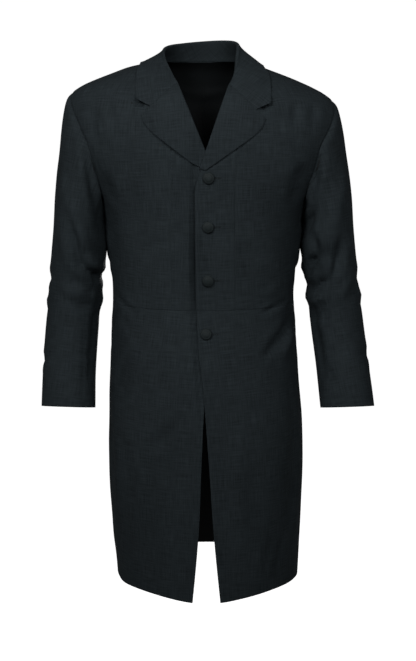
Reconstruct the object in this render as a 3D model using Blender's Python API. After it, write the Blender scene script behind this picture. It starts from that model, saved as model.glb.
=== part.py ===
"""Frock coat, worn form: hollow cloth panels, collar, lapels, sleeves and covered buttons.

Metres, +Z up, the front faces -Y, +X is the wearer's left. The origin is the middle of the
neck opening, level with the points where the shoulders meet the neck.
Every panel is cut from one smooth uncut form, so neighbouring walls share their directions.
"""
import bisect
import math

import bpy
import numpy as np

COLLECTION = "frock_coat"

# ---------------------------------------------------------------- driving sizes
CLOTH = 0.0020              # wall of every cloth piece
SEAM_GAP = 0.0003           # between neighbouring pieces
HALF_GAP = SEAM_GAP * 0.64
ARM_GAP = 0.0006           # between a sleeve and the armhole it stands in
ARM_LIFT = 0.0011           # how far the sleeve starts above it where it turns down
WAIST_Z = -0.460            # waist seam
NECK_Z = 0.0155             # shoulder seam end at the neck, and back neck
UNDER_TUCK = 0.0036         # under front behind the over front
BREAK_TUCK = 0.0060         # the same where the under lapel passes below too
FRONTS_PART_Z = -0.640      # below this the fronts open
VENT_UNDER = 0.028          # width of the right back that lies under the left in the vent
VENT_TUCK = 0.0036          # how far it lies inside
VENT_TOP_Z = -0.468
GORGE = (0.052, -0.030)     # inner end of the gorge seam, on the roll line
NOTCH = (0.1005, -0.0725)   # inner corner of the notch
FOLD_RUN = 0.0015           # straight cloth between a front's edge and its turned roll
FOLD_RADIUS = 0.0020        # middle of the cloth round the roll
BREAK_RADIUS = 0.0014
LEAF_LIFT = 0.0022          # middle of a turned leaf above the panel below, at its edge
BESIDE_GAP = 0.0008         # between a panel and a piece that lies or turns back on it
BUTTON_RADIUS = 0.0115
BUTTON_HEIGHT = 0.0062
BUTTON_STEPS = 20

# Columns of cells across each piece, and rows along it.
CENTRE_COLUMNS = 4
FRONT_COLUMNS = 7
SIDE_COLUMNS = 5
SHOULDER_COLUMNS = 6
NECK_COLUMNS = 5
SEAM_ROWS = 7
ARM_FRONT_ROWS = 11
ARM_BACK_ROWS = 8
EDGE_ROWS = 9
ROLL_ROWS = 5
NECK_ROWS = 4
SKIRT_ROWS = 14
CAP_ROWS = 6
LAPEL_ROWS = 11
COLLAR_ROWS = NECK_ROWS + NECK_COLUMNS
FOLD_STEPS = 5
LEAF_STEPS = 7
STAND_STEPS = 3


def table(names, rows):
    """A short table as named columns."""
    columns = {}
    for place, name in enumerate(names.split()):
        columns[name] = [row[place] for row in rows]
    return columns


# Level sections of the uncut form, hem to neck. The squareness is the handle of each
# quarter: 0.55 is an ellipse, more is squarer.
RINGS = table(
    "z half_width front back front_square side_square back_square",
    [
        (-1.070, 0.1880, 0.1800, 0.1920, 0.58, 0.55, 0.60),
        (-1.020, 0.1890, 0.1795, 0.1905, 0.58, 0.55, 0.60),
        (-0.930, 0.1925, 0.1780, 0.1860, 0.60, 0.56, 0.60),
        (-0.840, 0.1965, 0.1765, 0.1810, 0.62, 0.57, 0.60),
        (-0.750, 0.1975, 0.1745, 0.1750, 0.64, 0.58, 0.60),
        (-0.670, 0.1955, 0.1715, 0.1680, 0.65, 0.58, 0.60),
        (-0.600, 0.1910, 0.1660, 0.1580, 0.65, 0.58, 0.60),
        (-0.540, 0.1870, 0.1570, 0.1450, 0.64, 0.57, 0.59),
        (-0.500, 0.1845, 0.1490, 0.1330, 0.63, 0.56, 0.58),
        (-0.460, 0.1830, 0.1430, 0.1220, 0.62, 0.56, 0.58),
        (-0.420, 0.1835, 0.1430, 0.1190, 0.62, 0.56, 0.58),
        (-0.378, 0.1868, 0.1465, 0.1220, 0.62, 0.56, 0.60),
        (-0.330, 0.1905, 0.1500, 0.1270, 0.62, 0.57, 0.62),
        (-0.280, 0.1960, 0.1520, 0.1310, 0.62, 0.58, 0.64),
        (-0.240, 0.2120, 0.1530, 0.1330, 0.62, 0.58, 0.65),
        (-0.200, 0.2345, 0.1530, 0.1335, 0.62, 0.58, 0.65),
        (-0.160, 0.2560, 0.1515, 0.1325, 0.62, 0.58, 0.65),
        (-0.120, 0.2680, 0.1475, 0.1300, 0.62, 0.58, 0.65),
        (-0.090, 0.2700, 0.1410, 0.1265, 0.62, 0.58, 0.64),
        (-0.065, 0.2625, 0.1310, 0.1220, 0.62, 0.58, 0.63),
        (-0.048, 0.2495, 0.1205, 0.1170, 0.61, 0.58, 0.62),
        (-0.034, 0.2270, 0.1090, 0.1115, 0.60, 0.57, 0.61),
        (-0.022, 0.2010, 0.0975, 0.1060, 0.59, 0.56, 0.60),
        (-0.011, 0.1740, 0.0860, 0.1000, 0.58, 0.56, 0.59),
        (-0.001, 0.1470, 0.0735, 0.0930, 0.57, 0.56, 0.58),
        (0.007, 0.1200, 0.0590, 0.0850, 0.56, 0.55, 0.57),
        (0.0135, 0.0960, 0.0440, 0.0780, 0.55, 0.55, 0.56),
        (0.0190, 0.0740, 0.0300, 0.0700, 0.55, 0.55, 0.55),
    ],
)

# Front edges, measured outward from the centre on each one's own side.
EDGES = table(
    "z over_x under_x",
    [
        (-1.060, 0.0300, 0.0300),
        (-1.040, 0.0280, 0.0280),
        (-0.917, 0.0165, 0.0165),
        (-0.871, 0.0135, 0.0130),
        (-0.784, 0.0090, 0.0085),
        (-0.697, 0.0040, 0.0035),
        (-0.640, 0.0008, -0.0004),
        (-0.600, -0.0020, -0.0050),
        (-0.553, -0.0078, -0.0160),
        (-0.497, -0.0113, -0.0280),
        (-0.440, -0.0135, -0.0330),
        (-0.360, -0.0150, -0.0335),
        (-0.290, -0.0155, -0.0335),
        (-0.225, -0.0148, -0.0325),
        (-0.203, -0.0110, -0.0270),
        (-0.186, -0.0030, -0.0140),
    ],
)
EDGE_TOP = {1: (-0.0030, -0.186), -1: (-0.0140, -0.186)}

# The armhole, seen from the side, round from the shoulder end through the front.
ARMHOLE = table(
    "y z",
    [
        (0.000, -0.0500),    # shoulder end
        (-0.030, -0.0640),   # front top
        (-0.061, -0.0950),   # front upper
        (-0.082, -0.1420),   # front middle
        (-0.078, -0.1900),   # front low
        (-0.056, -0.2420),   # front base
        (-0.003, -0.2740),   # underarm
        (0.050, -0.2520),    # back base
        (0.080, -0.2050),    # back low
        (0.084, -0.1500),    # back middle
        (0.068, -0.1000),    # back upper
        (0.036, -0.0670),    # back top
    ],
)
SIDE_SEAM_AT = 5.45         # places round the armhole, counted in rows of the table
BACK_SEAM_AT = 8.00
SIDE_SEAM_WAIST = 0.93      # side seam at the waist, round the section (1 is the side)

# Seam between the side panel and the back, then the side pleat down to the hem.
BACK_SEAM = table(
    "z x",
    [
        (-1.070, 0.1080),
        (-0.800, 0.1020),
        (-0.560, 0.0900),
        (-0.460, 0.0850),
        (-0.400, 0.0920),
        (-0.330, 0.1130),
        (-0.265, 0.1500),
    ],
)

# Upright front seam, outward place in each row from the waist to the shoulder.
FRONT_SEAM = table(
    "row x",
    [
        (0, 0.0620),
        (10, 0.0620),
        (12, 0.0640),
        (14, 0.0720),
        (15, 0.0790),
        (16, 0.0880),
        (17, 0.0985),
        (18, 0.1090),
    ],
)

# Hem height round the section.
HEM = table(
    "around z",
    [
        (0.00, -1.0390),
        (0.10, -1.0365),
        (0.25, -1.0310),
        (0.45, -1.0255),
        (0.70, -1.0250),
        (1.00, -1.0275),
        (1.50, -1.0260),
        (2.00, -1.0235),
    ],
)

# Neck seam from the gorge to the shoulder seam.
NECK = table(
    "z x",
    [
        (-0.0300, 0.0520),
        (-0.0120, 0.0640),
        (0.0000, 0.0745),
        (0.0090, 0.0835),
    ],
)

# The collar from the gorge to the centre back: top of the roll, and the leaf edge by the
# level and the place round the form below it.
COLLAR = table(
    "station roll_x roll_y roll_z up leaf_z leaf_around",
    [
        (0, 0.0500, -0.1000, -0.0290, 0.00, -0.0600, 0.000),
        (2, 0.0590, -0.0790, -0.0100, 0.35, -0.0350, 0.000),
        (4, 0.0670, -0.0500, 0.0120, 0.75, -0.0110, 0.000),
        (6, 0.0725, -0.0190, 0.0340, 1.00, 0.0050, 0.930),
        (8, 0.0700, 0.0180, 0.0480, 1.00, 0.0065, 1.220),
        (10, 0.0440, 0.0560, 0.0530, 1.00, 0.0010, 1.600),
        (12, 0.0000, 0.0700, 0.0545, 1.00, -0.0020, 2.000),
    ],
)
LEAF_EDGE = table(
    "z x",
    [
        (-0.0600, 0.1275),
        (-0.0350, 0.1290),
        (-0.0110, 0.1270),
        (0.0050, 0.1200),
    ],
)

# Outer edge of the lapel against its place up the roll line.
LAPEL_LEAF = table(
    "along x z",
    [
        (0.00, 0.0030, -0.1885),
        (0.12, 0.0210, -0.1760),
        (0.38, 0.0600, -0.1475),
        (0.74, 0.1020, -0.1150),
        (0.90, 0.1130, -0.1010),
        (1.00, 0.1175, -0.0885),
    ],
)

# Sleeve sections below the cap, each by its outer, inner, front and back points.
SLEEVE = table(
    "outer_x outer_z inner_x inner_z front_y front_z back_y back_z",
    [
        (0.2900, -0.2250, 0.2006, -0.3080, -0.0850, -0.2600, 0.0920, -0.2700),
        (0.2985, -0.3150, 0.1955, -0.3470, -0.0830, -0.3250, 0.0880, -0.3350),
        (0.3060, -0.3850, 0.2015, -0.3930, -0.0720, -0.3850, 0.0820, -0.3950),
        (0.3125, -0.4500, 0.2105, -0.4550, -0.0640, -0.4450, 0.0750, -0.4600),
        (0.3205, -0.5250, 0.2185, -0.5300, -0.0700, -0.5180, 0.0580, -0.5370),
        (0.3270, -0.5980, 0.2250, -0.6020, -0.0860, -0.5900, 0.0330, -0.6100),
        (0.3315, -0.6655, 0.2275, -0.6685, -0.1030, -0.6570, -0.0120, -0.6775),
    ],
)
SPLAY = {1: 0.0070, -1: -0.0070}    # outward shift of each cuff
SPLAY_TOP_Z = -0.350
SLEEVE_FRONT_SEAM = 10      # column of the armhole where the sleeve's front seam starts
SLEEVE_BACK_SEAM = 18

# Largest folds of the body: side of the wearer (+1 left), place round, height, half width
# round the form, half length, slant of the fold, height of the ridge (minus is a hollow).
BODY_FOLDS = table(
    "side around z half_round half_long slant rise",
    [
        (-1, 0.86, -0.760, 0.16, 0.120, 0.30, -0.0090),
        (1, 0.80, -0.470, 0.16, 0.075, 1.20, -0.0045),
        (1, 0.70, -0.540, 0.16, 0.080, 1.40, 0.0040),
        (-1, 0.62, -0.600, 0.18, 0.110, 1.10, -0.0040),
        (-1, 0.52, -0.780, 0.16, 0.140, 0.80, 0.0035),
        (1, 0.60, -0.860, 0.16, 0.180, 0.15, -0.0035),
        (1, 0.38, -0.920, 0.12, 0.140, -0.10, 0.0030),
        (-1, 0.34, -0.930, 0.12, 0.130, 0.10, -0.0030),
        (1, 1.28, -0.840, 0.14, 0.220, 0.10, -0.0060),
        (-1, 1.30, -0.850, 0.14, 0.210, -0.10, -0.0060),
        (1, 1.55, -0.900, 0.10, 0.180, 0.00, 0.0045),
        (-1, 1.52, -0.880, 0.10, 0.190, 0.05, 0.0045),
        (1, 1.45, -0.500, 0.20, 0.045, 0.60, -0.0040),
        (-1, 1.42, -0.510, 0.20, 0.045, 0.70, -0.0040),
        (-1, 0.90, -1.040, 0.25, 0.110, 0.00, -0.0050),
        (-1, 1.00, -0.070, 0.45, 0.060, 0.00, 0.0050),
        (1, 1.60, -0.180, 0.10, 0.090, -0.35, -0.0030),
        (-1, 1.62, -0.170, 0.10, 0.090, -0.35, -0.0030),
    ],
)

# Largest folds of the sleeves: side, turn (0 outer, 90 front, 180 inner), distance down the
# sleeve from 0 to 1, half turn, half length, slant, height of the ridge.
SLEEVE_FOLDS = table(
    "side turn down half_turn half_down slant rise",
    [
        (1, 95.0, 0.44, 45.0, 0.045, 0.0012, -0.0070),
        (1, 105.0, 0.52, 50.0, 0.040, 0.0010, 0.0050),
        (1, 120.0, 0.59, 50.0, 0.040, 0.0008, -0.0060),
        (1, 60.0, 0.33, 40.0, 0.070, 0.0015, -0.0045),
        (-1, 80.0, 0.40, 45.0, 0.070, 0.0016, -0.0050),
        (-1, 130.0, 0.56, 55.0, 0.035, 0.0008, -0.0075),
        (-1, 120.0, 0.64, 50.0, 0.045, 0.0006, 0.0045),
        (1, 265.0, 0.55, 50.0, 0.045, 0.0010, -0.0050),
        (-1, 260.0, 0.57, 50.0, 0.045, 0.0010, -0.0050),
        (1, 280.0, 0.46, 45.0, 0.040, 0.0010, 0.0040),
        (-1, 275.0, 0.48, 45.0, 0.040, 0.0010, 0.0040),
    ],
)

# Buttons on the over front, top to bottom.
BUTTONS = table(
    "x z",
    [
        (0.0100, -0.2035),
        (0.0092, -0.2970),
        (0.0090, -0.4010),
        (0.0052, -0.5050),
    ],
)

MATERIALS = {
    "wool": ((0.020, 0.026, 0.030, 1.0), 0.85),
    "button_cloth": ((0.017, 0.026, 0.025, 1.0), 0.70),
}


# ---------------------------------------------------------------- small helpers
def smooth_line(xs, ys):
    """A smooth line through a table's points, carried on straight beyond its ends."""
    count = len(xs)
    slopes = [(ys[i + 1] - ys[i]) / (xs[i + 1] - xs[i]) for i in range(count - 1)]
    tangents = [slopes[0]]
    for i in range(1, count - 1):
        before = xs[i] - xs[i - 1]
        after = xs[i + 1] - xs[i]
        tangents.append((slopes[i - 1] * after + slopes[i] * before) / (before + after))
    tangents.append(slopes[-1])

    def value(x):
        if x <= xs[0]:
            return ys[0] + tangents[0] * (x - xs[0])
        if x >= xs[-1]:
            return ys[-1] + tangents[-1] * (x - xs[-1])
        i = min(max(bisect.bisect_right(xs, x) - 1, 0), count - 2)
        width = xs[i + 1] - xs[i]
        t = (x - xs[i]) / width
        return (
            ys[i] * (1 + 2 * t) * (1 - t) ** 2
            + tangents[i] * width * t * (1 - t) ** 2
            + ys[i + 1] * t * t * (3 - 2 * t)
            + tangents[i + 1] * width * t * t * (t - 1)
        )

    return value


def ease(t):
    """0 to 1 with soft ends."""
    t = min(max(t, 0.0), 1.0)
    return t * t * (3 - 2 * t)


def unit(vector):
    return vector / np.linalg.norm(vector)


def solve(function, target, low, high):
    """Where a steadily rising or falling function meets the target."""
    rising = function(high) > function(low)
    for _ in range(50):
        middle = (low + high) / 2
        if (function(middle) < target) == rising:
            low = middle
        else:
            high = middle
    return (low + high) / 2


# ---------------------------------------------------------------- the uncut form
LEVELS = list(range(len(RINGS["z"])))
RING = {name: smooth_line(LEVELS, RINGS[name]) for name in RINGS}
EDGE = {
    1: smooth_line(EDGES["z"], EDGES["over_x"]),
    -1: smooth_line(EDGES["z"], EDGES["under_x"]),
}
BACK_SEAM_X = smooth_line(BACK_SEAM["z"], BACK_SEAM["x"])
FRONT_SEAM_X = smooth_line(FRONT_SEAM["row"], FRONT_SEAM["x"])
HEM_Z = smooth_line(HEM["around"], HEM["z"])


def quarter(first, second, t):
    """A quarter of a section: across grows 0 to 1 while ahead falls 1 to 0."""
    s = 1 - t
    across = 3 * s * s * t * first + 3 * s * t * t + t**3
    ahead = s**3 + 3 * s * s * t + 3 * s * t * t * second
    return across, ahead


def level_at(z):
    return solve(RING["z"], z, 0.0, LEVELS[-1] + 1.0)


def form(level, around):
    """Point of the uncut form: around is 0 centre front, 1 side, 2 centre back."""
    turn = abs(around)
    mirror = -1.0 if around < 0 else 1.0
    if turn > 2:
        turn = 4 - turn
        mirror = -mirror
    if turn <= 1:
        across, ahead = quarter(RING["front_square"](level), RING["side_square"](level), turn)
        y = -RING["front"](level) * ahead
    else:
        across, ahead = quarter(RING["back_square"](level), RING["side_square"](level), 2 - turn)
        y = RING["back"](level) * ahead
    return mirror * RING["half_width"](level) * across, y, RING["z"](level)


def around_at_x(level, x, back=False):
    """Place round the section for a distance from the centre, on the front or the back."""
    reach = min(abs(x) / RING["half_width"](level), 1.0)
    first = RING["back_square" if back else "front_square"](level)
    second = RING["side_square"](level)
    t = solve(lambda s: quarter(first, second, s)[0], reach, 0.0, 1.0)
    around = 2 - t if back else t
    return -around if x < 0 else around


def around_at_y(level, y):
    """Place round the section for a depth, nearest the side."""
    back = y > 0
    depth = RING["back" if back else "front"](level)
    first = RING["back_square" if back else "front_square"](level)
    second = RING["side_square"](level)
    t = solve(lambda s: quarter(first, second, s)[1], abs(y) / depth, 0.0, 1.0)
    return 2 - t if back else t


def mark_xz(x, z, back=False):
    level = level_at(z)
    return level, around_at_x(level, x, back)


def mark_yz(y, z):
    level = level_at(z)
    return level, around_at_y(level, y)


def tuck(x, z):
    """How far the under front lies back behind the over front."""
    over_edge = EDGE[1](z) if z < EDGE_TOP[1][1] else EDGE_TOP[1][0] + 0.35 * (z - EDGE_TOP[1][1])
    near = ease((x + over_edge + 0.048) / 0.042) if z < -0.60 else ease((x - over_edge + 0.048) / 0.042)
    at_break = ease((z + 0.275) / 0.035)
    deep = UNDER_TUCK + (BREAK_TUCK - UNDER_TUCK) * at_break
    apart = ease((FRONTS_PART_Z - z) / 0.060)
    return near * deep * (1 - apart)


def vent_tuck(x, z):
    """How far the right back lies inside behind the left one, below the top of the vent."""
    return VENT_TUCK * ease((0.042 - x) / 0.038) * ease((VENT_TOP_Z - z) / 0.030)


def posture(point):
    """The wearer's stance: the right shoulder higher, the collar tipped the other way."""
    x, y, z = point
    slope = -0.033 * ease((z + 0.35) / 0.25) + 0.100 * ease(z / 0.040)
    shift = -0.005 * ease((z + 0.020) / 0.050) + 0.006 * ease((WAIST_Z - z) / 0.550)
    return np.array((x + shift, y, z + slope * x))


def fold_rise(side, around, z):
    """Height of the body's folds at a place on the form."""
    rise = 0.0
    for i in range(len(BODY_FOLDS["side"])):
        if BODY_FOLDS["side"][i] != side:
            continue
        down = z - BODY_FOLDS["z"][i]
        round_by = around - BODY_FOLDS["around"][i] - BODY_FOLDS["slant"][i] * down
        a = round_by / BODY_FOLDS["half_round"][i]
        b = down / BODY_FOLDS["half_long"][i]
        if abs(a) < 1 and abs(b) < 1:
            rise += BODY_FOLDS["rise"][i] * (1 - a * a) ** 2 * (1 - b * b) ** 2
    return rise


def worn(side, level, around):
    """Point of the worn form on the wearer's left (+1) or right (-1)."""
    x, y, z = form(level, around)
    rise = fold_rise(side, around, z)
    if rise:
        outward = np.array((x / RING["half_width"](level) ** 2, y / RING["front"](level) ** 2))
        outward = unit(outward)
        x += rise * outward[0]
        y += rise * outward[1]
    if side < 0 and y < 0:
        y += tuck(-x, z)
    if side < 0 and y > 0:
        y -= vent_tuck(x, z)
    return posture((side * x, y, z))


def normal(side, level, around):
    """Outward direction of the worn form."""
    along = worn(side, level + 0.03, around) - worn(side, level - 0.03, around)
    round_by = worn(side, level, around + 0.012) - worn(side, level, around - 0.012)
    return side * unit(np.cross(round_by, along))


# ---------------------------------------------------------------- building the walls
collection = None
materials = {}


def make_material(name):
    colour, roughness = MATERIALS[name]
    material = bpy.data.materials.new(name)
    material.use_nodes = True
    shader = material.node_tree.nodes["Principled BSDF"]
    shader.inputs["Base Color"].default_value = colour
    shader.inputs["Roughness"].default_value = roughness
    shader.inputs["Metallic"].default_value = 0.0
    material.diffuse_color = colour
    return material


def add_object(name, mesh, material):
    mesh.materials.append(materials[material])
    thing = bpy.data.objects.new(name, mesh)
    collection.objects.link(thing)
    return thing


def trimmed(outer, inner, sides):
    """Pull the chosen edges of a wall back by half a seam gap, square to the edge."""
    outer = outer.copy()
    inner = inner.copy()
    for grid in (outer, inner):
        shift = np.zeros_like(grid)
        views = {
            "first_row": (grid[0], grid[1], shift[0]),
            "last_row": (grid[-1], grid[-2], shift[-1]),
            "first_column": (grid[:, 0], grid[:, 1], shift[:, 0]),
            "last_column": (grid[:, -1], grid[:, -2], shift[:, -1]),
        }
        for side in sides:
            edge, neighbour, move = views[side]
            along = np.gradient(edge, axis=0)
            along = along / np.linalg.norm(along, axis=1)[:, None]
            inward = neighbour - edge
            inward = inward - (inward * along).sum(axis=1)[:, None] * along
            move += HALF_GAP * inward / np.linalg.norm(inward, axis=1)[:, None]
        grid += shift
    return outer, inner


def wall(name, outer, inner, flip, sides=(), material="wool"):
    """A closed cloth wall between an outer and an inner grid of points."""
    outer, inner = trimmed(outer, inner, sides)
    rows, columns = outer.shape[:2]
    points = [tuple(p) for p in outer.reshape(-1, 3)] + [tuple(p) for p in inner.reshape(-1, 3)]
    below = rows * columns

    def at(i, j):
        return i * columns + j

    faces = []
    for i in range(rows - 1):
        for j in range(columns - 1):
            face = (at(i, j), at(i, j + 1), at(i + 1, j + 1), at(i + 1, j))
            faces.append(face)
            faces.append(tuple(below + k for k in reversed(face)))
    rim = [at(0, j) for j in range(columns)]
    rim += [at(i, columns - 1) for i in range(1, rows)]
    rim += [at(rows - 1, j) for j in range(columns - 2, -1, -1)]
    rim += [at(i, 0) for i in range(rows - 2, 0, -1)]
    for k, start in enumerate(rim):
        end = rim[(k + 1) % len(rim)]
        faces.append((start, below + start, below + end, end))
    if flip:
        faces = [tuple(reversed(face)) for face in faces]
    mesh = bpy.data.meshes.new(name)
    mesh.from_pydata(points, [], faces)
    mesh.update()
    return add_object(name, mesh, material)


def walls_of(side, marks):
    """Outer and inner grids of a panel from its marks (level, around)."""
    outer = np.array([[worn(side, *mark) for mark in row] for row in marks])
    inner = np.array([
        [point - CLOTH * normal(side, *mark) for point, mark in zip(points, row)]
        for points, row in zip(outer, marks)
    ])
    return outer, inner


def panel(name, side, marks, sides):
    outer, inner = walls_of(side, marks)
    return wall(name, outer, inner, side < 0, sides)


# ---------------------------------------------------------------- cutting lines
def between(start, end, steps):
    """Marks on the straight line between two marks, both ends included."""
    line = []
    for k in range(steps + 1):
        t = k / steps
        line.append((start[0] + (end[0] - start[0]) * t, start[1] + (end[1] - start[1]) * t))
    return line


def armhole_mark(place):
    """Mark of the armhole at a place round it, counted in rows of its table."""
    count = len(ARMHOLE["y"])
    i = math.floor(place)
    t = place - i
    out = []
    for name in ("y", "z"):
        a, b, c, d = (ARMHOLE[name][(i + k) % count] for k in (-1, 0, 1, 2))
        out.append(
            0.5 * (2 * b + (c - a) * t + (2 * a - 5 * b + 4 * c - d) * t * t
                   + (3 * b - a - 3 * c + d) * t**3)
        )
    if place in (0, count):
        out[0] = 0.0
    return mark_yz(*out)


def neck_mark(t):
    """Mark of the neck seam, 0 at the gorge and 1 at the shoulder seam."""
    knots = [mark_xz(x, z) for z, x in zip(NECK["z"], NECK["x"])]
    knots.append((level_at(NECK_Z), 1.0))
    places = [k / (len(knots) - 1) for k in range(len(knots))]
    levels = smooth_line(places, [knot[0] for knot in knots])
    arounds = smooth_line(places, [knot[1] for knot in knots])
    return levels(t), arounds(t)


def roll_xz(side, t):
    """Distance from the centre and height of the roll line, 0 at the break, 1 at the gorge."""
    top = EDGE_TOP[side]
    return top[0] + (GORGE[0] - top[0]) * t, top[1] + (GORGE[1] - top[1]) * t


def front_inner(side):
    """Front edge, roll line and neck seam, waist to shoulder."""
    line = []
    for k in range(EDGE_ROWS):
        z = WAIST_Z + (EDGE_TOP[side][1] - WAIST_Z) * k / EDGE_ROWS
        line.append(mark_xz(EDGE[side](z), z))
    for k in range(ROLL_ROWS):
        line.append(mark_xz(*roll_xz(side, k / ROLL_ROWS)))
    for k in range(NECK_ROWS + 1):
        line.append(neck_mark(k / NECK_ROWS))
    return line


def side_seam():
    start = (level_at(WAIST_Z), SIDE_SEAM_WAIST)
    return between(start, armhole_mark(SIDE_SEAM_AT), SEAM_ROWS)


def back_seam():
    """Side-back seam from the waist to the armhole."""
    top = armhole_mark(BACK_SEAM_AT)
    knots = []
    for z, x in zip(BACK_SEAM["z"], BACK_SEAM["x"]):
        if z >= WAIST_Z - 0.001:
            knots.append(mark_xz(x, z, back=True))
    knots.append(top)
    arounds = smooth_line([knot[0] for knot in knots], [knot[1] for knot in knots])
    line = []
    for k in range(SEAM_ROWS + 1):
        level = knots[0][0] + (top[0] - knots[0][0]) * k / SEAM_ROWS
        line.append((level, arounds(level)))
    return line


def arm_line(start, end, steps):
    return [armhole_mark(start + (end - start) * k / steps) for k in range(steps + 1)]


def front_marks(side):
    """Grids of marks of the centre and side parts of a front."""
    inner = front_inner(side)
    outer = side_seam() + arm_line(SIDE_SEAM_AT, 0, ARM_FRONT_ROWS)[1:]
    centre = []
    beside = []
    for row, (a, b) in enumerate(zip(inner, outer)):
        def x_at(t):
            return form(a[0] + (b[0] - a[0]) * t, a[1] + (b[1] - a[1]) * t)[0]

        t = solve(x_at, FRONT_SEAM_X(row), 0.0, 0.9)
        seam = (a[0] + (b[0] - a[0]) * t, a[1] + (b[1] - a[1]) * t)
        centre.append(between(a, seam, CENTRE_COLUMNS))
        beside.append(between(seam, b, FRONT_COLUMNS))
    return centre, beside


def patch(left, right, bottom, top, hold=1.0):
    """Marks filled in between four boundary lines; a higher hold keeps the top line's bends
    near the top.
    """
    rows = len(left)
    columns = len(bottom)
    grid = []
    for i in range(rows):
        v = i / (rows - 1)
        low = 1 - v
        high = v**hold
        line = []
        for j in range(columns):
            u = j / (columns - 1)
            mark = []
            for k in range(2):
                below = bottom[j][k] - (1 - u) * bottom[0][k] - u * bottom[-1][k]
                above = top[j][k] - (1 - u) * top[0][k] - u * top[-1][k]
                mark.append((1 - u) * left[i][k] + u * right[i][k] + low * below + high * above)
            line.append(tuple(mark))
        grid.append(line)
    return grid


def side_marks():
    left = side_seam()
    right = back_seam()
    bottom = between(left[0], right[0], SIDE_COLUMNS)
    top = arm_line(SIDE_SEAM_AT, BACK_SEAM_AT, SIDE_COLUMNS)
    return patch(left, right, bottom, top)


def back_marks(side):
    """A back half, hem to neck, rows rising."""
    waist = level_at(WAIST_Z)
    left = back_seam() + arm_line(BACK_SEAM_AT, 12, ARM_BACK_ROWS)[1:]
    neck = level_at(NECK_Z)
    right = between((waist, 2.0), (neck, 2.0), len(left) - 1)
    columns = SHOULDER_COLUMNS + NECK_COLUMNS
    bottom = between(left[0], right[0], columns)
    top = between(left[-1], (neck, 1.0), SHOULDER_COLUMNS)
    top += between((neck, 1.0), (neck, 2.0), NECK_COLUMNS)[1:]
    upper = patch(left, right, bottom, top, hold=3.0)
    lower = []
    for k in range(SKIRT_ROWS):
        line = []
        for j in range(columns + 1):
            line.append(skirt_mark(bottom[j][1], 1 - k / SKIRT_ROWS, j / columns, "back", side))
        lower.append(line)
    return lower + upper


def skirt_mark(around_top, down, across, part, side):
    """Mark of the skirt: down is 0 at the waist and 1 at the hem."""
    around = around_top
    for _ in range(3):
        z = WAIST_Z + (HEM_Z(min(max(around, 0.0), 2.0)) - WAIST_Z) * down
        level = level_at(z)
        pleat = around_at_x(level, BACK_SEAM_X(z), back=True)
        if part == "back":
            under = VENT_UNDER * ease((VENT_TOP_Z - 0.034 - z) / 0.034) if side < 0 else 0.0
            centre = 4 - around_at_x(level, under, back=True)
            around = pleat + (centre - pleat) * across
        else:
            edge = around_at_x(level, EDGE[side](z))
            around = edge + (pleat - edge) * across
    return level, around


def skirt_marks(side, waist_line):
    """The skirt, hem to waist, rows rising, below a line of marks on the waist."""
    first = waist_line[0][1]
    last = waist_line[-1][1]
    grid = []
    for k in range(SKIRT_ROWS + 1):
        line = []
        for mark in waist_line:
            across = (mark[1] - first) / (last - first)
            line.append(skirt_mark(mark[1], 1 - k / SKIRT_ROWS, across, "skirt", side))
        grid.append(line)
    grid[-1] = list(waist_line)
    return grid


# ---------------------------------------------------------------- sleeves
def sleeve_ring(side, row, turn):
    """Point of a sleeve section: turn 0 outer, 90 front, 180 inner, 270 back."""
    c = math.cos(turn)
    s = math.sin(turn)
    value = {name: SLEEVE[name][row] for name in SLEEVE}
    centre_x = (value["outer_x"] + value["inner_x"]) / 2
    centre_y = (value["front_y"] + value["back_y"]) / 2
    centre_z = (value["outer_z"] + value["inner_z"] + value["front_z"] + value["back_z"]) / 4
    x = centre_x + c * (value["outer_x"] - value["inner_x"]) / 2
    y = centre_y + s * (value["front_y"] - value["back_y"]) / 2
    z = centre_z + c * (value["outer_z"] - value["inner_z"]) / 2
    z += s * (value["front_z"] - value["back_z"]) / 2
    reach = max(SPLAY_TOP_Z - z, 0.0) / (SPLAY_TOP_Z - SLEEVE["outer_z"][-1])
    x += SPLAY[side] * reach**1.5
    return posture((side * x, y, z))


def sleeve_rise(side, turn, down):
    rise = 0.0
    for i in range(len(SLEEVE_FOLDS["side"])):
        if SLEEVE_FOLDS["side"][i] != side:
            continue
        off = math.degrees(turn) % 360 - SLEEVE_FOLDS["turn"][i]
        off = (off + 180) % 360 - 180
        a = off / SLEEVE_FOLDS["half_turn"][i]
        b = (down - SLEEVE_FOLDS["down"][i] - SLEEVE_FOLDS["slant"][i] * off)
        b /= SLEEVE_FOLDS["half_down"][i]
        if abs(a) < 1 and abs(b) < 1:
            rise += SLEEVE_FOLDS["rise"][i] * (1 - a * a) ** 2 * (1 - b * b) ** 2
    return rise


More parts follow.
